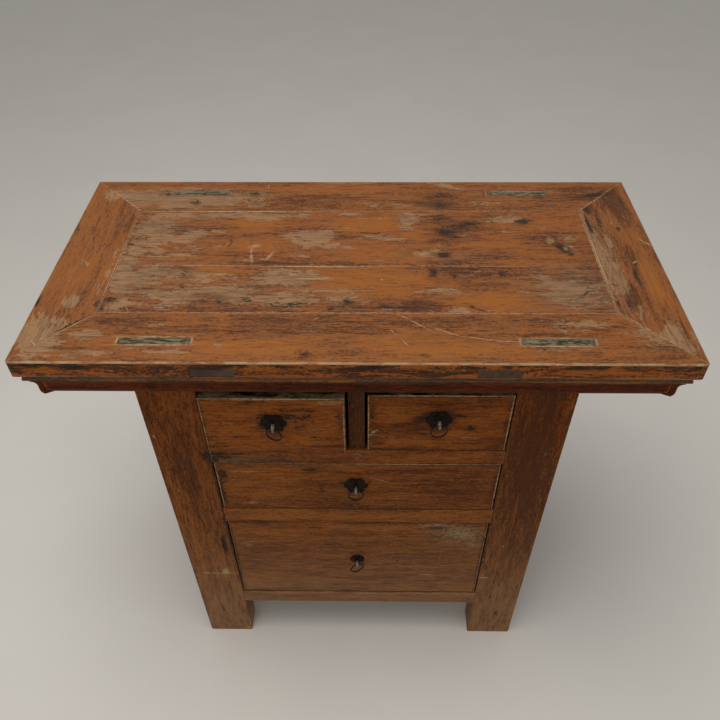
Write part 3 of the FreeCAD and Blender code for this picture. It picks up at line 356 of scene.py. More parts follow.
class Figure:
    """The patterns that the colour, the wear and the dirt of one wood share."""

    def __init__(self, shade, wood):
        grain = wood.grain
        self.broad, self.medium, self.fine = wood_grain(shade, grain, wood.seed)
        self.flakes = shade.noise(shade.stretched(grain, 24.0, 54.0), 1.0, 10.0, 0.7, 0.4)
        self.grit = shade.noise(shade.stretched(grain, 150.0, 320.0), 1.0, 5.0, 0.7)
        self.loose = shade.warped(grain, 14.0, 40.0, 0.006)
        self.close = shade.warped(grain, 50.0, 130.0, 0.0025)


def streaked(shade, wood, figure):
    """The colour of whole lacquer: dark, middle and light streaks along the grain."""
    tone = shade.add(shade.weigh((figure.broad, 0.28), (figure.medium, 0.36),
                                 (figure.fine, 0.4 * wood.crisp), (figure.grit, 0.45 * wood.crisp)),
                     0.18 - 0.425 * wood.crisp)
    for marks, spread, push in ((wood.brown, 1.6, -0.09), (wood.bright, 1.3, 0.09)):
        if marks:
            spots = shade.spots(figure.loose, wood.plane, marks, spread)
            tone = shade.add(tone, shade.times(spots, push))
    colour = shade.blend(shade.band(tone, 0.4, 0.51), wood.dark, wood.middle)
    return shade.blend(shade.band(tone, 0.49, 0.62), colour, wood.light)


def rubbed(shade, wood, figure, colour):
    """Flaked patches where the wood shows, dull areas, the fading towards the foot and painted
    shade under the top.
    """
    ragged = shade.add(shade.weigh((figure.flakes, 0.75), (figure.grit, 0.4)), -0.575)
    start = 0.16 - 0.12 * wood.rubbed
    wear = shade.band(ragged, start, start + 0.02, 0.0, 0.55)
    if wood.tan:
        place = figure.loose if wood.plane == "XY" else figure.close
        value = shade.add(shade.spots(place, wood.plane, wood.tan, 1.5), shade.times(ragged, 2.6))
        wear = shade.most(shade.band(value, 0.5, 0.6, 0.0, 0.85), wear)
    bare = shade.blend(shade.band(shade.add(figure.fine, figure.medium), 0.84, 1.1),
                       darker(wood.bare, 0.66), wood.bare)
    bare = shade.blend(shade.band(figure.grit, 0.56, 0.66, 0.0, 0.5), bare, wood.middle)
    colour = shade.blend(shade.times(wear, 0.95), colour, bare)
    if wood.grey:
        dull = shade.times(shade.spots(figure.loose, wood.plane, wood.grey, 1.6),
                           shade.band(figure.flakes, 0.3, 0.6, 0.4, 1.0))
        colour = shade.blend(dull, colour, shade.blend(0.3, bare, wood.stain))
    if wood.fade_and_painted_shade:
        foot, knee, shoulder = -0.03, 0.5, 0.82
        low = shade.times(shade.band(shade.height(), knee, foot),
                          shade.band(figure.flakes, 0.34, 0.6, 0.65, 1.0))
        colour = shade.blend(low, colour, shade.blend(0.72, wood.middle, bare))
        # Painted shade: above the knee the colour is darkened and reddened, as if in the shadow of
        # the overhanging top
        high = shade.band(shade.height(), knee, shoulder)
        colour = shade.blend(high, colour, PAINTED_SHADE_UNDER_TOP, "MULTIPLY")
    return wear, colour


def soiled(shade, wood, figure):
    """Density of the grime: thin streaks, specks, the outline of a front, and stains."""
    lines = shade.band(figure.fine, 0.43, 0.31, 0.0, 0.6 * wood.crisp)
    specks = shade.band(figure.grit, 0.39, 0.3, 0.0, 0.7 * wood.crisp)
    soil = shade.noise(shade.stretched(wood.grain, 9.0, 34.0), 1.0, 8.0, 0.72, 0.6)
    dirt = shade.most(shade.times(shade.band(soil, 0.5, 0.72), 0.5 * wood.grime), lines, specks)
    if wood.box:
        outline = shade.border(wood.plane, *wood.box, 12 * MM)
        outline = shade.add(shade.times(outline, 0.8), figure.flakes)
        dirt = shade.most(dirt, shade.band(outline, 0.9, 1.4, 0.0, 0.75))
    if wood.black:
        streaky = shade.weigh((figure.grit, 0.7), (figure.medium, 0.45), (figure.flakes, 0.3))
        value = shade.add(shade.spots(figure.close, wood.plane, wood.black, 1.5),
                          shade.times(shade.math("SUBTRACT", streaky, 0.725), 3.6))
        dirt = shade.most(dirt, shade.band(value, 0.42, 0.86, 0.0, 0.9))
    return dirt


def below_top(depth):
    """The height that lies some millimetres below the face of the top."""
    return TOP_FACE - depth * MM


def edge_bands(shade, wood, figure, colour):
    """The moulded edge of the top: pale arris, black chips below it, grey bead at its foot."""
    height = shade.height()

    def between(low_out, low_in, high_in, high_out):
        """One between two depths below the face of the top, fading to nothing outside them."""
        return shade.times(shade.band(height, below_top(low_out), below_top(low_in)),
                           shade.band(height, below_top(high_out), below_top(high_in)))

    side = shade.band(height, below_top(2), below_top(5))
    streaks = shade.band(shade.weigh((figure.medium, 0.6), (figure.grit, 0.4)), 0.455, 0.545)
    streaks = shade.blend(streaks, EDGE_DARK, EDGE_LIGHT)
    colour = shade.blend(shade.times(side, 0.85), colour, streaks)
    chips = shade.band(shade.weigh((figure.flakes, 1.0), (figure.grit, 0.8)), 0.9, 0.97)
    cracks = shade.band(figure.medium, 0.42, 0.36, 0.0, 0.8)
    black = shade.most(shade.times(between(16, 8, 3.5, 1.5), chips),
                       shade.times(between(40, 30, 4, 1.5), cracks))
    colour = shade.blend(shade.times(black, 0.92), colour, EDGE_CHIP)
    arris = shade.times(between(3.4, 1.8, 0.6, -0.1),
                        shade.band(figure.flakes, 0.42, 0.56, 0.25, 0.9))
    colour = shade.blend(arris, colour, wood.chalk)
    bead = shade.times(between(47, 43, 40, 38), shade.band(figure.grit, 0.36, 0.56, 0.25, 0.8))
    return shade.blend(bead, colour, BEAD_DUST)


def end_grain(shade, colour):
    """The tops of the leg tenons: grey-green end grain with dark mottles."""
    mottle = shade.noise(shade.stretched("X", 60.0, 240.0), 1.0, 6.0, 0.7)
    grain = shade.blend(shade.band(mottle, 0.4, 0.62), END_DARK, END_LIGHT)
    return shade.blend(shade.band(shade.height(), below_top(6), below_top(3)), colour, grain)


def marked(shade, wood, figure, colour):
    """Scuffs, scratches and chalky marks, and dust on the upper edge of a drawer front."""
    if wood.scuffs:
        scuffs = shade.spots(figure.loose, wood.plane, wood.scuffs, 1.4)
        speckle = shade.times(shade.math("SUBTRACT", figure.grit, 0.5), 4.0)
        scuffs = shade.band(shade.add(scuffs, speckle), 0.5, 1.3, 0.0, 0.6)
        colour = shade.blend(scuffs, colour, SCUFF)
    if wood.pale:
        marks = shade.times(shade.spots(shade.position, wood.plane, wood.pale, 0.9),
                            shade.band(figure.grit, 0.36, 0.56, 0.2, 1.0))
        colour = shade.blend(marks, colour, wood.chalk)
    if wood.crown:
        dusty = shade.blend(shade.band(figure.flakes, 0.4, 0.6), wood.stain, DUST)
        crown = shade.band(shade.height(), wood.crown - 0.6 * MM, wood.crown - 0.1 * MM)
        colour = shade.blend(crown, colour, dusty)
    return colour


def lacquered(wood):
    """Old lacquer on softwood: streaked colour, rubbed patches, stains, worn arrises."""
    shade = Shade(wood.name)
    figure = Figure(shade, wood)
    wear, colour = rubbed(shade, wood, figure, streaked(shade, wood, figure))
    dirt = soiled(shade, wood, figure)
    colour = shade.blend(dirt, colour, wood.stain)
    arris = shade.times(shade.edges(4 * MM), shade.band(figure.grit, 0.42, 0.52, 0.15, 1.0))
    colour = shade.blend(shade.times(arris, wood.edge), colour, wood.bare)
    if wood.rim:
        colour = edge_bands(shade, wood, figure, colour)
    colour = marked(shade, wood, figure, colour)
    if wood.cap:
        colour = end_grain(shade, colour)
    rough = shade.weigh((wear, 0.22), (dirt, 0.16), (figure.grit, 0.2))
    shade.finish(Base_Color=colour, Roughness=shade.add(rough, wood.rough - 0.1),
                 Specular_IOR_Level=wood.gloss)
    relief = shade.weigh((figure.fine, 0.6), (figure.medium, 0.5), (figure.grit, 0.5),
                         (wear, -0.35), (dirt, -0.4))
    shade.bump(relief, 0.8, 1.2 * MM)
    return shade.material


def bare_wood(name, grain, seed, light, dark):
    """Unfinished softwood, dusty and darkened with age."""
    shade = Shade(name)
    broad, medium, fine = wood_grain(shade, grain, seed)
    tone = shade.weigh((broad, 0.4), (medium, 0.4), (fine, 0.25))
    tint = shade.blend(shade.band(tone, 0.4, 0.64), dark, light)
    soil = shade.band(shade.noise(shade.position, 7.0, 5.0, 0.6), 0.5, 0.72, 0.0, 0.45)
    tint = shade.blend(soil, tint, darker(dark, 0.45))
    shade.finish(Base_Color=tint, Roughness=shade.band(fine, 0.3, 0.7, 0.7, 0.86))
    shade.bump(shade.weigh((fine, 1.0), (medium, 0.6)), 0.5, 0.8 * MM)
    return shade.material


# Iron


def old_iron(name, dark, worn, sheen=0.4):
    """Forged iron, blackened, rubbed bright where it is handled, with a painted highlight on its
    arrises.
    """
    shade = Shade(name)
    blotch = shade.noise(shade.position, 160.0, 5.0, 0.62)
    pits = shade.noise(shade.position, 620.0, 3.0, 0.6)
    colour = shade.blend(shade.band(blotch, 0.38, 0.66), darker(dark, 0.4), dark)
    rust = shade.band(shade.noise(shade.position, 140.0, 6.0, 0.7), 0.48, 0.64, 0.0, 0.7)
    rusty = tuple(0.7 * a + 0.3 * b for a, b in zip(dark, RUST))
    colour = shade.blend(rust, colour, rusty)
    # Rubbed iron at the arrises, which is also a painted highlight along them
    arris = shade.times(shade.edges(1.2 * MM), shade.band(blotch, 0.4, 0.6))
    colour = shade.blend(shade.times(arris, 0.5), colour, worn)
    shade.finish(Base_Color=colour, Metallic=sheen, Specular_IOR_Level=0.5 * sheen,
                 Roughness=shade.band(pits, 0.3, 0.7, 0.42, 0.7))
    shade.bump(shade.weigh((pits, 1.0), (blotch, 0.8)), 0.5, 0.4 * MM)
    return shade.material


def dress(material, *nodes):
    """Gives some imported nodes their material."""
    for node in nodes:
        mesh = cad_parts[node]
        for slot in mesh.material_slots:
            slot.material = material
        if not mesh.material_slots:
            mesh.data.materials.append(material)


# Marks on the wood: two middles and two radii in millimetres, a strength and maybe a turn

BOARDS = {
    "tan": (
        (-325, 56, 48, 17, 1.0), (-120, -50, 50, 22, 1.1), (-78, -55, 46, 4, 1.0),
        (-80, 64, 48, 26, 0.9), (-52, 36, 50, 12, 0.8), (87, 116, 20, 30, 1.0),
        (258, 120, 42, 18, 0.9), (-230, 131, 170, 9, 1.0), (-345, 122, 46, 14, 0.8),
        (340, -82, 54, 42, 0.85), (-350, -62, 50, 22, 0.7), (-300, -100, 90, 26, 0.75),
        (-200, -84, 70, 18, 0.8), (-130, -108, 100, 18, 0.9), (120, -84, 44, 12, 0.8),
        (-20, -108, 60, 16, 0.7), (180, 70, 46, 16, 0.45), (60, 60, 50, 10, 0.6),
        (-370, -118, 24, 22, 0.8), (150, -132, 24, 8, 0.9), (320, 100, 60, 20, 0.5),
        (-90, 10, 60, 14, 0.5), (-330, 8, 60, 10, 0.6), (70, -4, 60, 8, 0.5),
        (230, -36, 60, 12, 0.45), (-60, 92, 40, 10, 0.6), (360, 40, 30, 60, 0.5),
        (-290, -38, 50, 8, 0.7), (-380, -20, 18, 110, 1.0), (-355, 90, 36, 40, 0.9),
        (-300, 70, 60, 30, 0.6), (-280, -120, 60, 12, 0.8), (-330, -40, 60, 26, 0.8),
        (-240, -60, 60, 20, 0.7), (-300, 10, 50, 8, 0.7), (30, 60, 40, 14, 0.6),
        (140, 40, 30, 12, 0.5), (300, -50, 60, 12, 0.6), (230, 80, 30, 8, 0.5),
        (-160, 120, 60, 10, 0.7), (-20, 134, 80, 5, 0.6), (-280, 30, 60, 14, 0.6),
        (-250, 80, 40, 10, 0.6), (-340, -30, 50, 10, 0.7), (-60, -84, 90, 10, 0.7),
        (60, -130, 60, 5, 0.6), (380, -100, 14, 30, 0.6), (120, 134, 70, 6, 0.6),
        (-370, 60, 30, 50, 0.6), (-340, 20, 60, 30, 0.5), (0, 120, 50, 8, 0.5),
        (250, 80, 40, 10, 0.4), (270, -80, 30, 14, 0.5)),
    "black": (
        (152, 78, 18, 14, 1.0), (162, 96, 22, 6, 0.8), (166, 64, 24, 5, 0.75),
        (144, 118, 15, 7, 0.8), (194, 106, 24, 8, 0.75), (190, 84, 26, 4, 0.6),
        (134, 88, 12, 5, 0.7), (292, 111, 14, 12, 0.85), (236, 88, 12, 7, 0.6),
        (176, 92, 22, 16, 0.8), (346, 32, 8, 24, 1.0, 30), (338, 44, 10, 8, 0.7),
        (144, 11, 13, 10, 1.0), (124, 14, 18, 7, 0.6), (234, -40, 5, 12, 0.9),
        (123, -38, 8, 14, 0.8), (156, -46, 5, 22, 0.6, 25), (-15, -112, 13, 8, 0.9),
        (-170, -112, 13, 8, 0.8), (-214, -114, 12, 7, 0.7), (-386, -108, 16, 10, 0.8),
        (-392, -132, 6, 18, 0.7), (-256, -120, 7, 14, 0.6), (-279, -40, 10, 16, 0.5),
        (-278, -76, 9, 18, 0.5), (-40, -131, 7, 6, 0.8), (-90, -118, 50, 4, 0.7),
        (40, -126, 90, 4, 0.6), (357, -92, 4, 14, 0.8, -40), (183, -127, 18, 2.5, 0.8, -35),
        (15, 76, 40, 3, 0.6), (-218, 56, 3, 26, 0.6), (240, 128, 30, 5, 0.6),
        (150, 48, 16, 6, 0.6), (330, 78, 30, 5, 0.5), (-150, -104, 120, 3, 0.5),
        (-350, -100, 30, 3, 0.5), (300, -30, 40, 3, 0.4), (60, 22, 20, 3, 0.4),
        (-60, 28, 18, 4, 0.6), (-240, -112, 30, 4, 0.6), (-100, -124, 80, 3, 0.6),
        (130, -60, 10, 10, 0.5), (210, 60, 20, 3, 0.5)),
    "pale": (
        (-176, 36, 10, 4, 0.8, 20), (-180, 24, 2.5, 8, 0.7), (-177, 2, 2.5, 12, 0.7, 10),
        (-184, -4, 6, 2, 0.6), (-147, 8, 2.5, 13, 0.6, -25), (-156, -2, 8, 2, 0.5),
        (112, 14, 14, 8, 0.45), (100, 18, 8, 4, 0.45), (130, 24, 8, 4, 0.5), (328, 54, 7, 9, 0.5),
        (350, 30, 4, 6, 0.5), (-104, -42, 7, 4, 0.45), (-230, -42, 24, 1.2, 0.5),
        (-70, -21.5, 90, 1.6, 0.8), (-270, -20, 120, 0.9, 0.6), (150, -19.5, 130, 0.9, 0.5),
        (-396, 10, 1.2, 140, 0.8), (-70, -54, 34, 1.4, 0.6), (0, -139, 390, 0.9, 0.6),
        (-210, 144, 180, 1.6, 0.8), (200, 145.5, 190, 0.8, 0.6), (395.5, 0, 1.1, 140, 0.7),
        (40, -56, 1.6, 1.6, 0.9), (-352, -132, 6, 1, 0.6, -60)),
    "bright": (
        (18, 100, 52, 22, 1.3), (28, -58, 90, 30, 1.4), (-178, 104, 38, 22, 0.9),
        (50, 14, 60, 26, 0.9), (212, -112, 70, 20, 1.1), (228, 46, 44, 18, 0.8),
        (-180, 40, 54, 16, 0.7), (-226, -34, 40, 16, 0.8), (-330, -6, 40, 8, 0.6),
        (300, 10, 50, 26, 0.5), (100, 60, 14, 40, 0.7), (-250, -62, 60, 10, 0.6)),
    "brown": (
        (180, -40, 70, 26, 0.9), (-60, -14, 130, 5, 1.0), (-380, 60, 22, 60, 0.4),
        (370, -20, 30, 90, 0.5), (60, -124, 120, 12, 0.8), (170, 100, 70, 40, 0.8),
        (-300, 95, 80, 12, 0.4), (270, 0, 70, 14, 0.5), (-230, -130, 160, 8, 0.6),
        (120, 30, 60, 14, 0.5), (330, 30, 40, 40, 0.5)),
    "grey": (
        (340, -80, 60, 46, 0.6), (150, 8, 60, 12, 0.3), (-330, -50, 70, 50, 0.35),
        (-200, -90, 120, 26, 0.35), (-340, 100, 60, 30, 0.3)),
}
LONG_MEMBERS = {
    "tan": (
        (-325, 190, 130, 32, 1.2), (-440, 205, 40, 20, 0.9), (-468, -205, 40, 40, 1.1),
        (165, 232, 40, 9, 0.9, -20), (60, 170, 60, 12, 0.6), (-190, 165, 40, 10, 0.6),
        (300, 222, 80, 8, 0.5), (330, -168, 70, 20, 0.6), (-400, -190, 40, 14, 0.8),
        (-300, -170, 70, 12, 0.5), (440, -180, 40, 40, 0.7), (-360, -232, 50, 7, 0.6),
        (-196, -212, 6, 6, 0.9), (-20, 246, 120, 4, 0.8), (220, 170, 90, 10, 0.5),
        (340, -232, 24, 6, 0.6), (-290, -224, 60, 5, 0.8), (290, -220, 60, 5, 0.7),
        (-430, -238, 60, 6, 0.7), (-60, 226, 60, 6, 0.5)),
    "black": (
        (-284, 210, 50, 10, 0.75), (-358, 204, 18, 12, 0.7), (-300, 172, 12, 14, 0.6),
        (-196, 204, 14, 9, 0.8), (-250, 196, 60, 4, 0.6), (155, 198, 36, 14, 0.75),
        (148, 165, 22, 16, 0.8), (435, 200, 34, 7, 1.1, 15), (-432, -197, 14, 9, 0.6),
        (-456, -180, 12, 7, 0.5), (-424, -166, 30, 1.8, 1.5, 44), (238, 206, 7, 11, 0.9),
        (330, 196, 14, 8, 0.8), (270, 212, 30, 3, 0.6), (-72, -232, 14, 9, 0.7),
        (-10, -226, 60, 3, 0.5), (440, 202, 22, 4, 1.2, 40), (-212, 143, 14, 6, 0.6),
        (302, 150, 5, 5, 0.8), (60, 201, 3, 6, 0.7), (-130, 172, 12, 4, 0.6),
        (110, 172, 14, 5, 0.7), (-345, -234, 12, 4, 0.5), (200, -178, 90, 2, 0.5),
        (0, -160, 200, 2, 0.6), (-60, -186, 120, 2, 0.5), (100, -230, 120, 2, 0.5),
        (400, -238, 30, 3, 0.5)),
    "pale": (
        (84, -158, 30, 0.8, 0.9, -38), (134, -182, 28, 0.8, 0.8, -26),
        (184, -197, 28, 0.8, 0.75, -12), (222, -202, 22, 0.8, 0.7, -4),
        (55, -183, 9, 0.8, 0.8, -58), (72, -206, 9, 0.8, 0.7, -58), (-240, -203, 2.4, 8, 0.6),
        (-349, -203, 2.4, 8, 0.6), (349, -203, 2.4, 8, 0.6), (240, -203, 2.6, 8, 0.6),
        (-295, -194.6, 54, 1.2, 0.7), (-295, -212.4, 54, 1.8, 0.7), (295, -194.6, 54, 1.2, 0.6),
        (295, -212.4, 54, 1.8, 0.7), (0, 247, 460, 1.4, 0.4), (-425, 175, 42, 1.0, 0.8, -45),
        (290, 213, 54, 1.4, 0.5), (236, 206, 2, 8, 0.5), (430, -172, 50, 0.9, 0.7, -48),
        (-424, -169, 30, 0.9, 0.7, 44), (424, 174, 40, 1.0, 0.7, 45), (-60, -152, 4, 0.8, 0.8, 40),
        (-172, 230, 0.8, 6, 0.7)),
    "bright": (
        (-150, -214, 80, 14, 1.4), (120, -226, 130, 14, 0.8), (60, -196, 100, 10, 0.6),
        (-120, 224, 100, 12, 0.6), (160, 200, 50, 10, 0.4), (-360, -212, 30, 8, 0.5),
        (300, -172, 60, 6, 0.4), (-230, -234, 100, 6, 0.6), (30, 228, 60, 12, 0.6)),
    "brown": (
        (-110, 178, 120, 18, 0.8), (-100, -172, 150, 20, 0.7), (130, -166, 120, 12, 0.6),
        (160, 170, 60, 30, 0.7), (20, -236, 120, 8, 0.8), (260, -192, 90, 8, 0.6),
        (-330, -160, 80, 10, 0.5), (420, 200, 60, 20, 0.8), (0, 150, 380, 3, 0.7),
        (-240, -180, 40, 8, 0.6), (360, 180, 50, 20, 0.5)),
    "grey": ((-325, 190, 110, 30, 0.5), (290, 206, 60, 12, 0.4)),
}
END_MEMBERS = {
    "tan": (
        (418, -40, 14, 70, 0.9), (404, 0, 10, 130, 0.9), (-468, -190, 40, 50, 1.1),
        (427, 52, 8, 18, 1.2), (465, -200, 34, 44, 0.8), (-450, -16, 8, 14, 0.8),
        (-444, -112, 14, 22, 0.9), (-440, 205, 50, 24, 0.8), (-406, -40, 8, 90, 0.6),
        (455, 215, 30, 20, 0.5), (436, -130, 14, 40, 0.6), (446, 110, 3, 6, 0.9)),
    "black": (
        (-394, -118, 12, 20, 0.9), (-410, 95, 10, 30, 0.5), (408, 158, 6, 22, 1.1, 20),
        (404, 100, 3, 30, 1.0), (424, 112, 4, 36, 0.8), (449, -45, 3, 26, 1.0),
        (420, -116, 5, 16, 0.8), (-424, -166, 30, 1.8, 1.5, 44), (-497, -114, 5, 12, 1.2),
        (480, 180, 4, 20, 0.7), (440, 200, 30, 7, 1.0, 15), (458, -6, 4, 8, 0.8),
        (-456, -170, 12, 8, 0.6), (402, -114, 4, 8, 0.9), (452, 88, 3, 6, 0.8),
        (-438, -150, 12, 5, 0.6), (470, -130, 4, 20, 0.5), (-478, 40, 3, 20, 0.4),
        (440, 60, 3, 30, 0.5), (-440, -196, 14, 8, 0.7)),
    "pale": (
        (-425, 175, 42, 1.0, 0.8, -45), (397.6, 0, 1.4, 140, 0.7), (489, 48, 15, 1.2, 1.0, -50),
        (424, 174, 40, 1.0, 0.7, 45), (456, -8, 5, 2, 0.8, 40), (430, -172, 50, 0.9, 0.7, -48),
        (-398, -30, 1.0, 110, 0.5), (-424, -169, 30, 0.9, 0.7, 44), (-470, -210, 8, 1, 0.7, -50),
        (-462, -200, 5, 1, 0.6, 40)),
    "bright": (
        (474, -60, 16, 60, 1.0), (-484, 60, 10, 120, 0.5), (-455, -60, 20, 60, 0.4),
        (450, 60, 30, 40, 0.6), (440, 130, 30, 30, 0.5), (430, -20, 10, 30, 0.4)),
    "brown": (
        (-408, 90, 10, 40, 0.4), (412, 100, 14, 60, 1.2), (424, 150, 30, 40, 1.2),
        (470, 160, 30, 90, 1.1), (455, 20, 44, 120, 0.9), (430, -100, 20, 60, 1.0),
        (470, -100, 20, 60, 0.5), (480, 200, 20, 30, 0.8), (425, -200, 30, 30, 0.5)),
    "grey": ((410, -10, 14, 110, 0.6),),
}
LEGS = {
    "tan": (
        (-273, 258, 8, 11, 1.3), (-316, 254, 6, 4, 1.2), (-290, 252, 30, 1.6, 0.8),
        (-250, 14, 10, 12, 1.2), (-320, 10, 30, 8, 1.0), (-290, 50, 60, 60, 0.5),
        (290, 40, 60, 40, 0.5), (260, 244, 10, 2.4, 1.2), (282, 362, 3, 4, 0.7),
        (-336, 60, 10, 60, 0.9), (254, 238, 4, 7, 0.7)),
    "black": (
        (-262, 360, 4, 30, 1.1), (-252, 640, 14, 14, 1.1), (-318, 600, 10, 4, 0.7),
        (-290, 560, 2, 60, 0.7), (-270, 480, 2, 60, 0.7), (-249, 500, 3, 240, 0.9),
        (258, 280, 5, 14, 0.7), (285, 552, 12, 4, 0.8, 30), (-300, 100, 6, 30, 0.6),
        (300, 90, 6, 30, 0.6), (249, 420, 3, 240, 0.7), (-330, 740, 6, 50, 0.6),
        (-305, 680, 2, 60, 0.6), (-275, 700, 2, 50, 0.6), (300, 640, 2, 60, 0.5),
        (320, 500, 2, 60, 0.5), (-340, 300, 4, 200, 0.5), (280, 180, 2, 40, 0.5),
        (-262, 300, 4, 20, 0.6), (-296, 340, 2, 60, 0.5)),
    "pale": (
        (-273, 258, 7, 7, 0.8), (-272, 266, 3, 5, 0.7), (-285, 253, 34, 1.4, 0.7),
        (-313, 254, 7, 2.4, 0.6), (-252, 10, 8, 7, 0.6), (-290, 1.5, 60, 2.0, 0.8),
        (290, 1.5, 60, 1.5, 0.6), (258, 243, 12, 1.8, 0.8), (254, 250, 2, 6, 0.5),
        (-340.6, 400, 1.0, 400, 0.45), (340.6, 400, 1.0, 400, 0.4), (-248.5, 20, 1.4, 30, 0.7),
        (282, 363, 1.6, 3, 0.6), (-333, 690, 2, 5, 0.5), (-320, 540, 1.5, 4, 0.5),
        (300, 68, 50, 1.0, 0.3)),
    # The broad brown marks high on the legs and down the right leg are painted shade under the top;
    # the two narrow ones are darker streaks
    "brown": (
        (0, 720, 400, 90, 0.7), (300, 700, 70, 220, 1.2), (310, 480, 60, 200, 0.7),
        (-262, 360, 12, 50, 0.6), (262, 420, 12, 160, 0.4), (-300, 640, 50, 100, 0.6)),
}
SMALL_LEFT = {
    "tan": (
        (-38, 782, 20, 5, 1.3), (-150, 788, 120, 2.5, 0.8), (-90, 775, 40, 5, 0.6),
        (-200, 735, 30, 5, 0.5), (-70, 720, 40, 3, 0.5), (-210, 700, 30, 3, 0.5)),
    "black": (
        (-100, 764, 34, 6, 0.8), (-84, 746, 22, 9, 0.75), (-118, 748, 22, 8, 0.9),
        (-140, 745, 22, 15, 1.1), (-92, 724, 14, 6, 0.7), (-132, 738, 24, 18, 1.1),
        (-130, 716, 14, 12, 0.8), (-104, 752, 14, 3, 1.0), (-94, 738, 5, 5, 1.0),
        (-74, 752, 5, 4, 0.9), (-66, 738, 4, 5, 0.8), (-84, 728, 4, 4, 0.8), (-70, 762, 6, 3, 0.9),
        (-112, 776, 30, 2.5, 0.8), (-242, 690, 6, 4, 0.7), (-26, 740, 8, 26, 0.7),
        (-150, 664, 70, 2, 0.6), (-160, 722, 24, 3, 0.7), (-30, 696, 4, 4, 0.8),
        (-215, 676, 16, 3, 0.6), (-70, 700, 8, 3, 0.6), (-200, 710, 4, 4, 0.5),
        (-150, 783, 40, 2, 0.8)),
    "pale": ((-131, 789.6, 113, 1.0, 1.0), (-20, 725, 1.0, 66, 0.6), (-244, 725, 0.8, 66, 0.5)),
    "bright": (
        (-130, 730, 140, 60, 0.8), (-210, 755, 40, 14, 0.8), (-60, 735, 40, 12, 0.8),
        (-90, 690, 90, 8, 0.5), (-160, 770, 40, 8, 0.6)),
    "brown": ((-130, 700, 30, 20, 0.5), (-60, 670, 60, 10, 0.6), (-230, 670, 20, 20, 0.6)),
}
SMALL_RIGHT = {
    "tan": (
        (62, 752, 22, 8, 0.55), (26, 702, 12, 1.8, 1.3, 52), (150, 790, 90, 2, 0.7),
        (60, 690, 24, 3, 0.5), (180, 690, 40, 3, 0.6), (210, 745, 20, 3, 0.5)),
    "black": (
        (131, 740, 26, 20, 1.2), (132, 716, 14, 10, 0.9), (98, 730, 12, 5, 0.8),
        (168, 744, 14, 4, 0.9), (112, 738, 20, 8, 0.9), (160, 745, 16, 6, 0.9),
        (184, 716, 9, 7, 1.1), (26, 752, 10, 26, 0.7), (62, 716, 12, 3, 0.7),
        (240, 720, 5, 50, 0.7), (120, 770, 50, 4, 0.6), (36, 676, 12, 4, 0.6),
        (150, 676, 60, 2, 0.6), (110, 700, 20, 4, 0.6), (200, 768, 24, 3, 0.6),
        (230, 688, 12, 3, 0.6)),
    "pale": (
        (131, 789.8, 113, 0.9, 0.9), (243.6, 725, 0.9, 66, 0.8), (19.4, 725, 0.9, 66, 0.8),
        (131, 658, 113, 0.8, 0.7), (26, 702, 10, 1.0, 0.8, 52)),
    "bright": (
        (60, 748, 34, 18, 1.0), (200, 740, 40, 14, 0.7), (90, 680, 60, 8, 0.7),
        (170, 700, 60, 8, 0.7)),
    "brown": ((100, 715, 30, 20, 0.6), (220, 670, 40, 12, 0.6), (30, 690, 20, 30, 0.5)),
}
MIDDLE = {
    "tan": (
        (-190, 596, 60, 2.5, 0.7), (36, 576, 18, 2, 0.9, -20), (-200, 488, 44, 1.6, 1.0),
        (-190, 505, 34, 3, 0.6), (-60, 606, 30, 2, 0.6), (30, 618, 200, 1.4, 0.8),
        (-180, 540, 40, 2, 0.4)),
    "black": (
        (-4, 564, 20, 16, 1.1), (-2, 546, 10, 8, 0.8), (22, 572, 12, 6, 0.7),
        (-78, 604, 20, 5, 0.9), (-234, 590, 10, 22, 0.9), (-240, 540, 4, 60, 0.9),
        (-62, 545, 3, 8, 0.9, 20), (-120, 556, 4, 5, 0.8), (240, 560, 4, 60, 0.6),
        (-14, 498, 4, 8, 0.9), (20, 500, 4, 3, 0.7), (-24, 566, 8, 10, 0.7),
        (60, 545, 60, 1.6, 0.5), (70, 498, 3, 4, 0.7), (-150, 612, 60, 2, 0.7),
        (-100, 595, 30, 3, 0.6)),
    "pale": (
        (90, 620, 155, 0.8, 0.9), (243.6, 552, 0.9, 66, 0.7), (-100, 620, 100, 0.6, 0.5),
        (0, 486, 240, 0.7, 0.6), (-243.6, 552, 0.8, 66, 0.6)),
    "bright": (
        (-180, 600, 60, 14, 0.8), (-150, 530, 80, 14, 0.5), (60, 520, 60, 14, 0.5),
        (150, 590, 80, 10, 0.3)),
    "brown": (
        (190, 550, 60, 50, 0.6), (-60, 560, 50, 30, 0.4), (110, 600, 90, 14, 0.5),
        (230, 520, 20, 30, 0.5)),
}
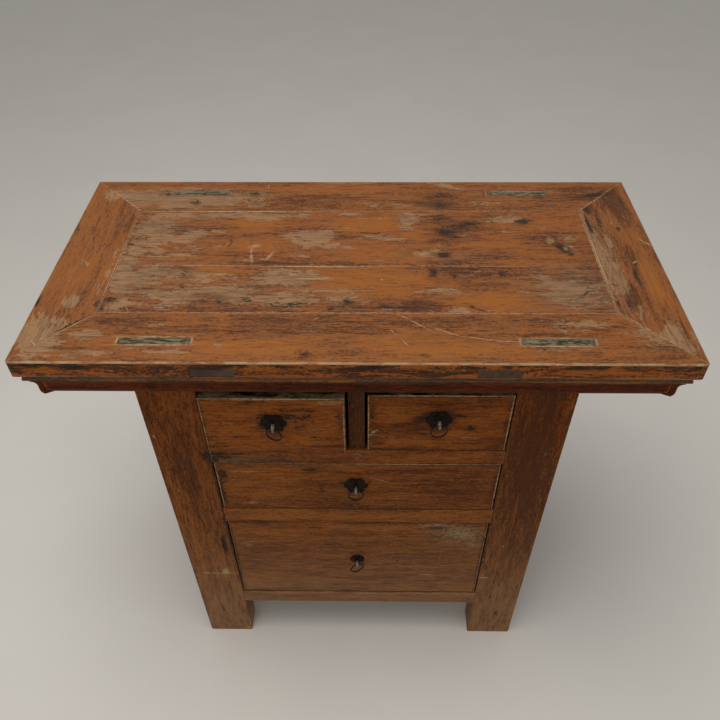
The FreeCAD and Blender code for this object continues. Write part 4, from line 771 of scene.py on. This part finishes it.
BOTTOM = {
    "tan": (
        (-218, 364, 17, 9, 0.8), (145, 248, 16, 2.5, 0.9), (0, 177, 240, 1.6, 0.9),
        (-60, 380, 30, 1.4, 0.6), (40, 412, 24, 2, 0.5), (222, 336, 16, 5, 0.6)),
    "black": (
        (-3, 312, 9, 9, 1.0), (-4, 298, 6, 6, 0.6), (150, 420, 22, 8, 0.7),
        (242, 300, 4, 110, 0.6), (-243, 300, 3, 120, 0.7), (-180, 437, 50, 2, 0.6),
        (120, 346, 40, 1.2, 0.6), (-160, 320, 50, 1, 0.5), (78, 302, 2, 5, 0.7),
        (-210, 366, 14, 1, 0.6), (-60, 390, 60, 1.2, 0.5), (100, 250, 60, 1.2, 0.5)),
    "pale": (
        (0, 175.6, 245, 0.9, 0.8), (60, 440.6, 180, 0.6, 0.5), (243.6, 300, 0.7, 120, 0.4),
        (138, 248, 13, 1.2, 0.7), (150, 260, 30, 0.8, 0.3)),
    "bright": ((-150, 405, 90, 20, 0.5), (30, 420, 60, 12, 0.4)),
    "brown": (
        (0, 330, 160, 30, 0.4), (60, 240, 180, 20, 0.4), (-160, 300, 80, 30, 0.3),
        (0, 434, 240, 6, 0.6)),
    "grey": ((200, 396, 60, 40, 0.4), (0, 200, 260, 30, 0.2)),
    "scuffs": (
        (196, 400, 50, 26, 1.0), (216, 366, 26, 24, 0.7), (150, 428, 60, 9, 0.9),
        (60, 300, 90, 60, 0.3)),
}
RAILS = {
    "tan": (
        (8, 650, 12, 1.6, 1.1), (0, 172, 250, 2.2, 1.1), (0, 636, 5, 4, 0.8),
        (-200, 162, 60, 4, 0.4)),
    "black": (
        (-228, 638, 22, 6, 0.8), (-244, 630, 8, 10, 0.8), (-200, 646, 20, 3, 0.7),
        (60, 640, 3, 3, 0.8), (-200, 446, 60, 2, 0.8), (236, 150, 12, 12, 0.6),
        (-226, 470, 18, 6, 0.6), (236, 464, 12, 12, 0.6), (-100, 627, 130, 1.6, 0.8),
        (100, 470, 8, 3, 0.6), (-160, 652, 60, 1.2, 0.7), (110, 655, 60, 1.2, 0.6),
        (-236, 645, 20, 5, 0.9)),
    "bright": (
        (60, 465, 170, 10, 0.9), (-160, 458, 60, 10, 0.7), (150, 640, 80, 8, 0.5),
        (-60, 645, 60, 6, 0.3)),
    "brown": ((0, 443, 250, 3, 0.9), (-180, 632, 80, 8, 0.5), (230, 645, 20, 12, 0.6)),
    "grey": ((-200, 150, 60, 12, 0.5), (-200, 634, 60, 10, 0.5), (120, 150, 90, 12, 0.2)),
}


def top_tones(look):
    return [tuple(c) for c in (look.bright, look.orange, look.brown, look.tan, look.black,
                               look.pale)]


def front_tones(look):
    return [tuple(c) for c in (look.front_light, look.front, look.front_dark, look.tan,
                               look.black, look.pale)]


class CABINET_OT_top(bpy.types.Operator):
    """Finish the framed top and its boards"""
    bl_idname = "cabinet.top"
    bl_label = "Top"

    def execute(self, context):
        look = context.scene.cabinet_lacquer
        tones = top_tones(look)
        dress(lacquered(Wood("Lacquer_boards", "X", 1, tones, "XY", rubbed=0.6, gloss=0.25,
                             crisp=0.85, **BOARDS)),
              "top_front_board", "top_back_board")
        dress(lacquered(Wood("Lacquer_long_members", "X", 2, tones, "XY", grime=0.6, edge=0.7,
                             rim=True, gloss=0.16, crisp=0.85, **LONG_MEMBERS)),
              "top_front_rail", "top_back_rail")
        dress(lacquered(Wood("Lacquer_end_members", "Y", 3, tones, "XY", rubbed=0.45, grime=0.35,
                             edge=0.7, rim=True, gloss=0.16, crisp=0.6, **END_MEMBERS)),
              "top_left_rail", "top_right_rail")
        worn = [*WEDGE_TONES, tuple(look.black), tuple(look.pale)]
        dress(lacquered(Wood("Worn_end_grain", "Z", 4, worn, grime=0.8, edge=0.2, rough=0.7)),
              "tenon_wedges")
        dress(bare_wood("Batten_wood", "Y", 5, BATTEN_LIGHT, BATTEN_DARK),
              "top_left_batten", "top_right_batten")
        return {"FINISHED"}


class CABINET_OT_carcase(bpy.types.Operator):
    """Finish the legs, rails, mouldings and panels"""
    bl_idname = "cabinet.carcase"
    bl_label = "Carcase"

    def execute(self, context):
        look = context.scene.cabinet_lacquer
        tones = front_tones(look)
        dress(lacquered(Wood("Lacquer_legs", "Z", 6, tones, rubbed=0.3, grime=0.6, edge=0.8,
                             fade_and_painted_shade=True, cap=True, **LEGS)),
              "front_left_leg", "front_right_leg", "back_left_leg", "back_right_leg")
        dress(lacquered(Wood("Lacquer_rails", "X", 7, tones, rubbed=0.25, fade_and_painted_shade=True, **RAILS)),
              "small_drawer_rail", "middle_rail", "bottom_rail", "back_rails", "stile_peg")
        # Painted shade: the centre stile's tones are darkened to about a third, as if shaded in its
        # recess between the small drawers
        dark = [darker(tone, 0.36) for tone in tones[:3]] + tones[3:]
        dress(lacquered(Wood("Lacquer_upright_painted_shade", "Z", 8, dark, grime=0.7, edge=0.25)),
              "centre_stile")
        # Painted shade: the moulding under the top gets the darkened red tones
        red = [*MOULDING_TONES_WITH_PAINTED_SHADE, *tones[3:]]
        for grain, sides in (("X", ("front", "back")), ("Y", ("left", "right"))):
            dress(lacquered(Wood("Lacquer_moulding_painted_shade_" + grain, grain, 9, red, rubbed=0.1, grime=0.7,
                                 edge=0.35, gloss=0.06)),
                  *("under_%s_moulding" % side for side in sides))
        dress(lacquered(Wood("Lacquer_side_rails", "Y", 10, tones, rubbed=0.3, grime=0.6,
                             edge=0.4)),
              "side_rails")
        dress(lacquered(Wood("Lacquer_panels", "Z", 11, tones, rubbed=0.35, grime=0.7, edge=0.2)),
              "left_side_panel", "right_side_panel", "back_panels")
        dress(bare_wood("Runner_wood", "Y", 12, tuple(look.bare), RUNNER_DARK), "drawer_runners")
        return {"FINISHED"}


# Nails through the small drawer fronts: places along X and Z in millimetres

NAILS = {
    "left_drawer": ((-239, 761), (-238, 742), (-236, 672), (-28, 757), (-25, 721), (-28, 693)),
    "right_drawer": ((24, 756), (26, 700), (28, 672), (239, 762), (238, 735), (236, 680)),
}
# Shares of a nail head's radius
NAIL_HEIGHT, NAIL_FACE, NAIL_ROUNDING = 0.55, 0.86, 0.2
# Share of its height by which the middle of a head stands out of the front
NAIL_PROUD = 0.2


def nails(drawer, radius, material):
    """Nail heads hammered into a drawer front: low discs with a rounded rim."""
    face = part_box(drawer + "_front")[0][1]
    build = bmesh.new()
    height = NAIL_HEIGHT * radius
    upright = Matrix.Rotation(math.pi / 2, 4, "X")
    for x, z in NAILS[drawer]:
        place = Matrix.Translation((x * MM, face - NAIL_PROUD * height, z * MM)) @ upright
        made = bmesh.ops.create_cone(build, cap_ends=True, segments=14, radius1=radius,
                                     radius2=NAIL_FACE * radius, depth=height, matrix=place)
        rim = {edge for vert in made["verts"] for edge in vert.link_edges
               if all(end.co.y < face - 0.5 * height for end in edge.verts)}
        bmesh.ops.bevel(build, geom=list(rim), offset=NAIL_ROUNDING * radius,
                        offset_type="OFFSET", segments=2, profile=0.5, affect="EDGES",
                        material=-1)
    bmesh.ops.recalc_face_normals(build, faces=build.faces)
    mesh = bpy.data.meshes.new(drawer + "_nails")
    build.to_mesh(mesh)
    build.free()
    piece = bpy.data.objects.new(drawer + "_nails", mesh)
    bpy.context.collection.objects.link(piece)
    mesh.materials.append(material)
    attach(piece, drawer)


class CABINET_OT_drawers(bpy.types.Operator):
    """Finish the drawers and nail the small ones"""
    bl_idname = "cabinet.drawers"
    bl_label = "Drawers"

    def execute(self, context):
        look = context.scene.cabinet_lacquer
        tones = front_tones(look)
        sides = bare_wood("Drawer_side_wood", "Y", 20, tuple(look.bare), DRAWER_DARK)
        across = bare_wood("Drawer_back_wood", "X", 21, tuple(look.bare), DRAWER_DARK)
        fronts = (SMALL_LEFT, SMALL_RIGHT, MIDDLE, BOTTOM)
        for seed, (name, marks) in enumerate(zip(DRAWERS, fronts), start=13):
            low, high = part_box(name + "_front")
            front = Wood("Lacquer_" + name, "X", seed, tones, rubbed=0.25, edge=0.8,
                         box=(low, high), crown=high[2], fade_and_painted_shade=True, **marks)
            dress(lacquered(front), name + "_front")
            dress(sides, name + "_left_side", name + "_right_side")
            dress(across, name + "_back", name + "_bottom")
        iron = context.scene.cabinet_iron
        head = old_iron("Nail_iron", tuple(iron.dark), tuple(iron.worn))
        for drawer in NAILS:
            nails(drawer, iron.nail, head)
        return {"FINISHED"}


class CABINET_OT_pulls(bpy.types.Operator):
    """Finish the iron pulls"""
    bl_idname = "cabinet.pulls"
    bl_label = "Pulls"

    def execute(self, context):
        look = context.scene.cabinet_iron
        dark, worn = tuple(look.dark), tuple(look.worn)
        for part, material in (("plate", old_iron("Plate_iron", PLATE_BLACK, dark, 0.15)),
                               # Painted highlight: the pins are pale iron, standing in for the
                               # glint on each pin's eye
                               ("pin", old_iron("Pin_iron", darker(worn, 0.7), worn)),
                               ("ring", old_iron("Ring_iron", dark, worn))):
            dress(material, *("%s_pull_%s" % (name, part) for name in DRAWERS))
        return {"FINISHED"}


# Stage, in metres and degrees

CAMERA_PLACE = (0.0203, -0.9703, 1.5925)
CAMERA_YAW, CAMERA_PITCH, CAMERA_ROLL = -1.05, 43.98, -0.50
CAMERA_LENS, CAMERA_SENSOR = 35.705, 36.0
FLOOR_HALF, FLOOR_ROUGHNESS = 6.0, 0.7
KEY = {"place": (-0.35, -0.3, 3.0), "aim": (0.0, -0.05, 0.6), "size": (1.8, 1.8),
       "tint": (1.0, 0.96, 0.9)}
FILL = {"place": (-0.6, -3.0, 1.0), "aim": (0.0, 0.0, 0.4), "size": (2.4, 1.6),
        "tint": (1.0, 0.97, 0.94)}
WORLD_STRENGTH = 0.3


def set_camera(context):
    """Looks along the yaw and pitch, then tips the picture by the roll."""
    yaw, pitch, roll = (math.radians(a) for a in (CAMERA_YAW, CAMERA_PITCH, CAMERA_ROLL))
    forward = Vector((math.sin(yaw) * math.cos(pitch), math.cos(yaw) * math.cos(pitch),
                      -math.sin(pitch)))
    right = Vector((math.cos(yaw), -math.sin(yaw), 0.0))
    up = right.cross(forward)
    across = math.cos(roll) * right + math.sin(roll) * up
    upward = -math.sin(roll) * right + math.cos(roll) * up
    data = bpy.data.cameras.new("Camera")
    data.lens = CAMERA_LENS
    data.sensor_width = CAMERA_SENSOR
    data.sensor_fit = "HORIZONTAL"
    camera = bpy.data.objects.new("Camera", data)
    context.collection.objects.link(camera)
    turn = Matrix((across, upward, -forward)).transposed()
    camera.matrix_world = Matrix.Translation(CAMERA_PLACE) @ turn.to_4x4()
    context.scene.camera = camera


def lay_floor(context, tint):
    """A pale floor, paler still where the camera sees it than in the light it throws back."""
    shade = Shade("Studio_floor")
    speckle = shade.noise(shade.position, 3.0, 5.0, 0.6)
    path = shade.node("ShaderNodeLightPath")
    seen = shade.add(*(path.outputs["Is %s Ray" % kind]
                       for kind in ("Camera", "Glossy", "Transmission")))
    tint = shade.blend(shade.math("MINIMUM", seen, 1.0), tint, FLOOR_IN_VIEW)
    tint = shade.blend(shade.band(speckle, 0.35, 0.65, 0.05, 0.0), tint, FLOOR_SPECKLE)
    shade.finish(Base_Color=tint, Roughness=FLOOR_ROUGHNESS)
    mesh = bpy.data.meshes.new("Studio_floor")
    build = bmesh.new()
    bmesh.ops.create_grid(build, x_segments=2, y_segments=2, size=FLOOR_HALF)
    build.to_mesh(mesh)
    build.free()
    floor = bpy.data.objects.new("Studio_floor", mesh)
    context.collection.objects.link(floor)
    mesh.materials.append(shade.material)


def hang_light(context, name, power, place, aim, size, tint):
    data = bpy.data.lights.new(name, "AREA")
    data.shape = "RECTANGLE"
    data.size, data.size_y = size
    data.energy = power
    data.color = tint
    light = bpy.data.objects.new(name, data)
    context.collection.objects.link(light)
    light.location = place
    light.rotation_euler = (Vector(aim) - Vector(place)).to_track_quat("-Z", "Y").to_euler()


class CABINET_OT_stage(bpy.types.Operator):
    """Set up the floor, the lights and the camera"""
    bl_idname = "cabinet.stage"
    bl_label = "Stage"

    def execute(self, context):
        look = context.scene.cabinet_stage
        set_camera(context)
        lay_floor(context, tuple(look.floor))
        hang_light(context, "Key", look.key_power, **KEY)
        hang_light(context, "Fill", look.fill_power, **FILL)
        world = bpy.data.worlds.new("Studio")
        context.scene.world = world
        world.use_nodes = True
        background = world.node_tree.nodes["Background"]
        background.inputs["Color"].default_value = WORLD_PALE
        background.inputs["Strength"].default_value = WORLD_STRENGTH
        context.scene.view_settings.view_transform = "Standard"
        return {"FINISHED"}


class CABINET_PT_sidebar(bpy.types.Panel):
    """Lists the steps and the values that they read"""
    bl_idname = "CABINET_PT_sidebar"
    bl_label = "Cabinet"
    bl_space_type = "VIEW_3D"
    bl_region_type = "UI"
    bl_category = "Cabinet"

    def draw(self, context):
        layout = self.layout
        for name, _ in GROUPS:
            group = getattr(context.scene, name)
            for key in group.bl_rna.properties.keys():
                if key not in {"rna_type", "name"}:
                    layout.prop(group, key)
        for step in STEPS:
            layout.operator(step.bl_idname)


GROUPS = (("cabinet_lacquer", CabinetLacquer), ("cabinet_iron", CabinetIron),
          ("cabinet_stage", CabinetStage))
STEPS = (CABINET_OT_stage, CABINET_OT_top, CABINET_OT_carcase, CABINET_OT_drawers,
         CABINET_OT_pulls)


def register():
    for _, group in GROUPS:
        bpy.utils.register_class(group)
    for step in STEPS:
        bpy.utils.register_class(step)
    bpy.utils.register_class(CABINET_PT_sidebar)
    for name, group in GROUPS:
        setattr(bpy.types.Scene, name, PointerProperty(type=group))


def unregister():
    for name, _ in GROUPS:
        delattr(bpy.types.Scene, name)
    bpy.utils.unregister_class(CABINET_PT_sidebar)
    for step in reversed(STEPS):
        bpy.utils.unregister_class(step)
    for _, group in reversed(GROUPS):
        bpy.utils.unregister_class(group)


def main():
    register()
    bpy.ops.cabinet.stage()
    bpy.ops.cabinet.top()
    bpy.ops.cabinet.carcase()
    bpy.ops.cabinet.drawers()
    bpy.ops.cabinet.pulls()


if __name__ == "__main__":
    main()
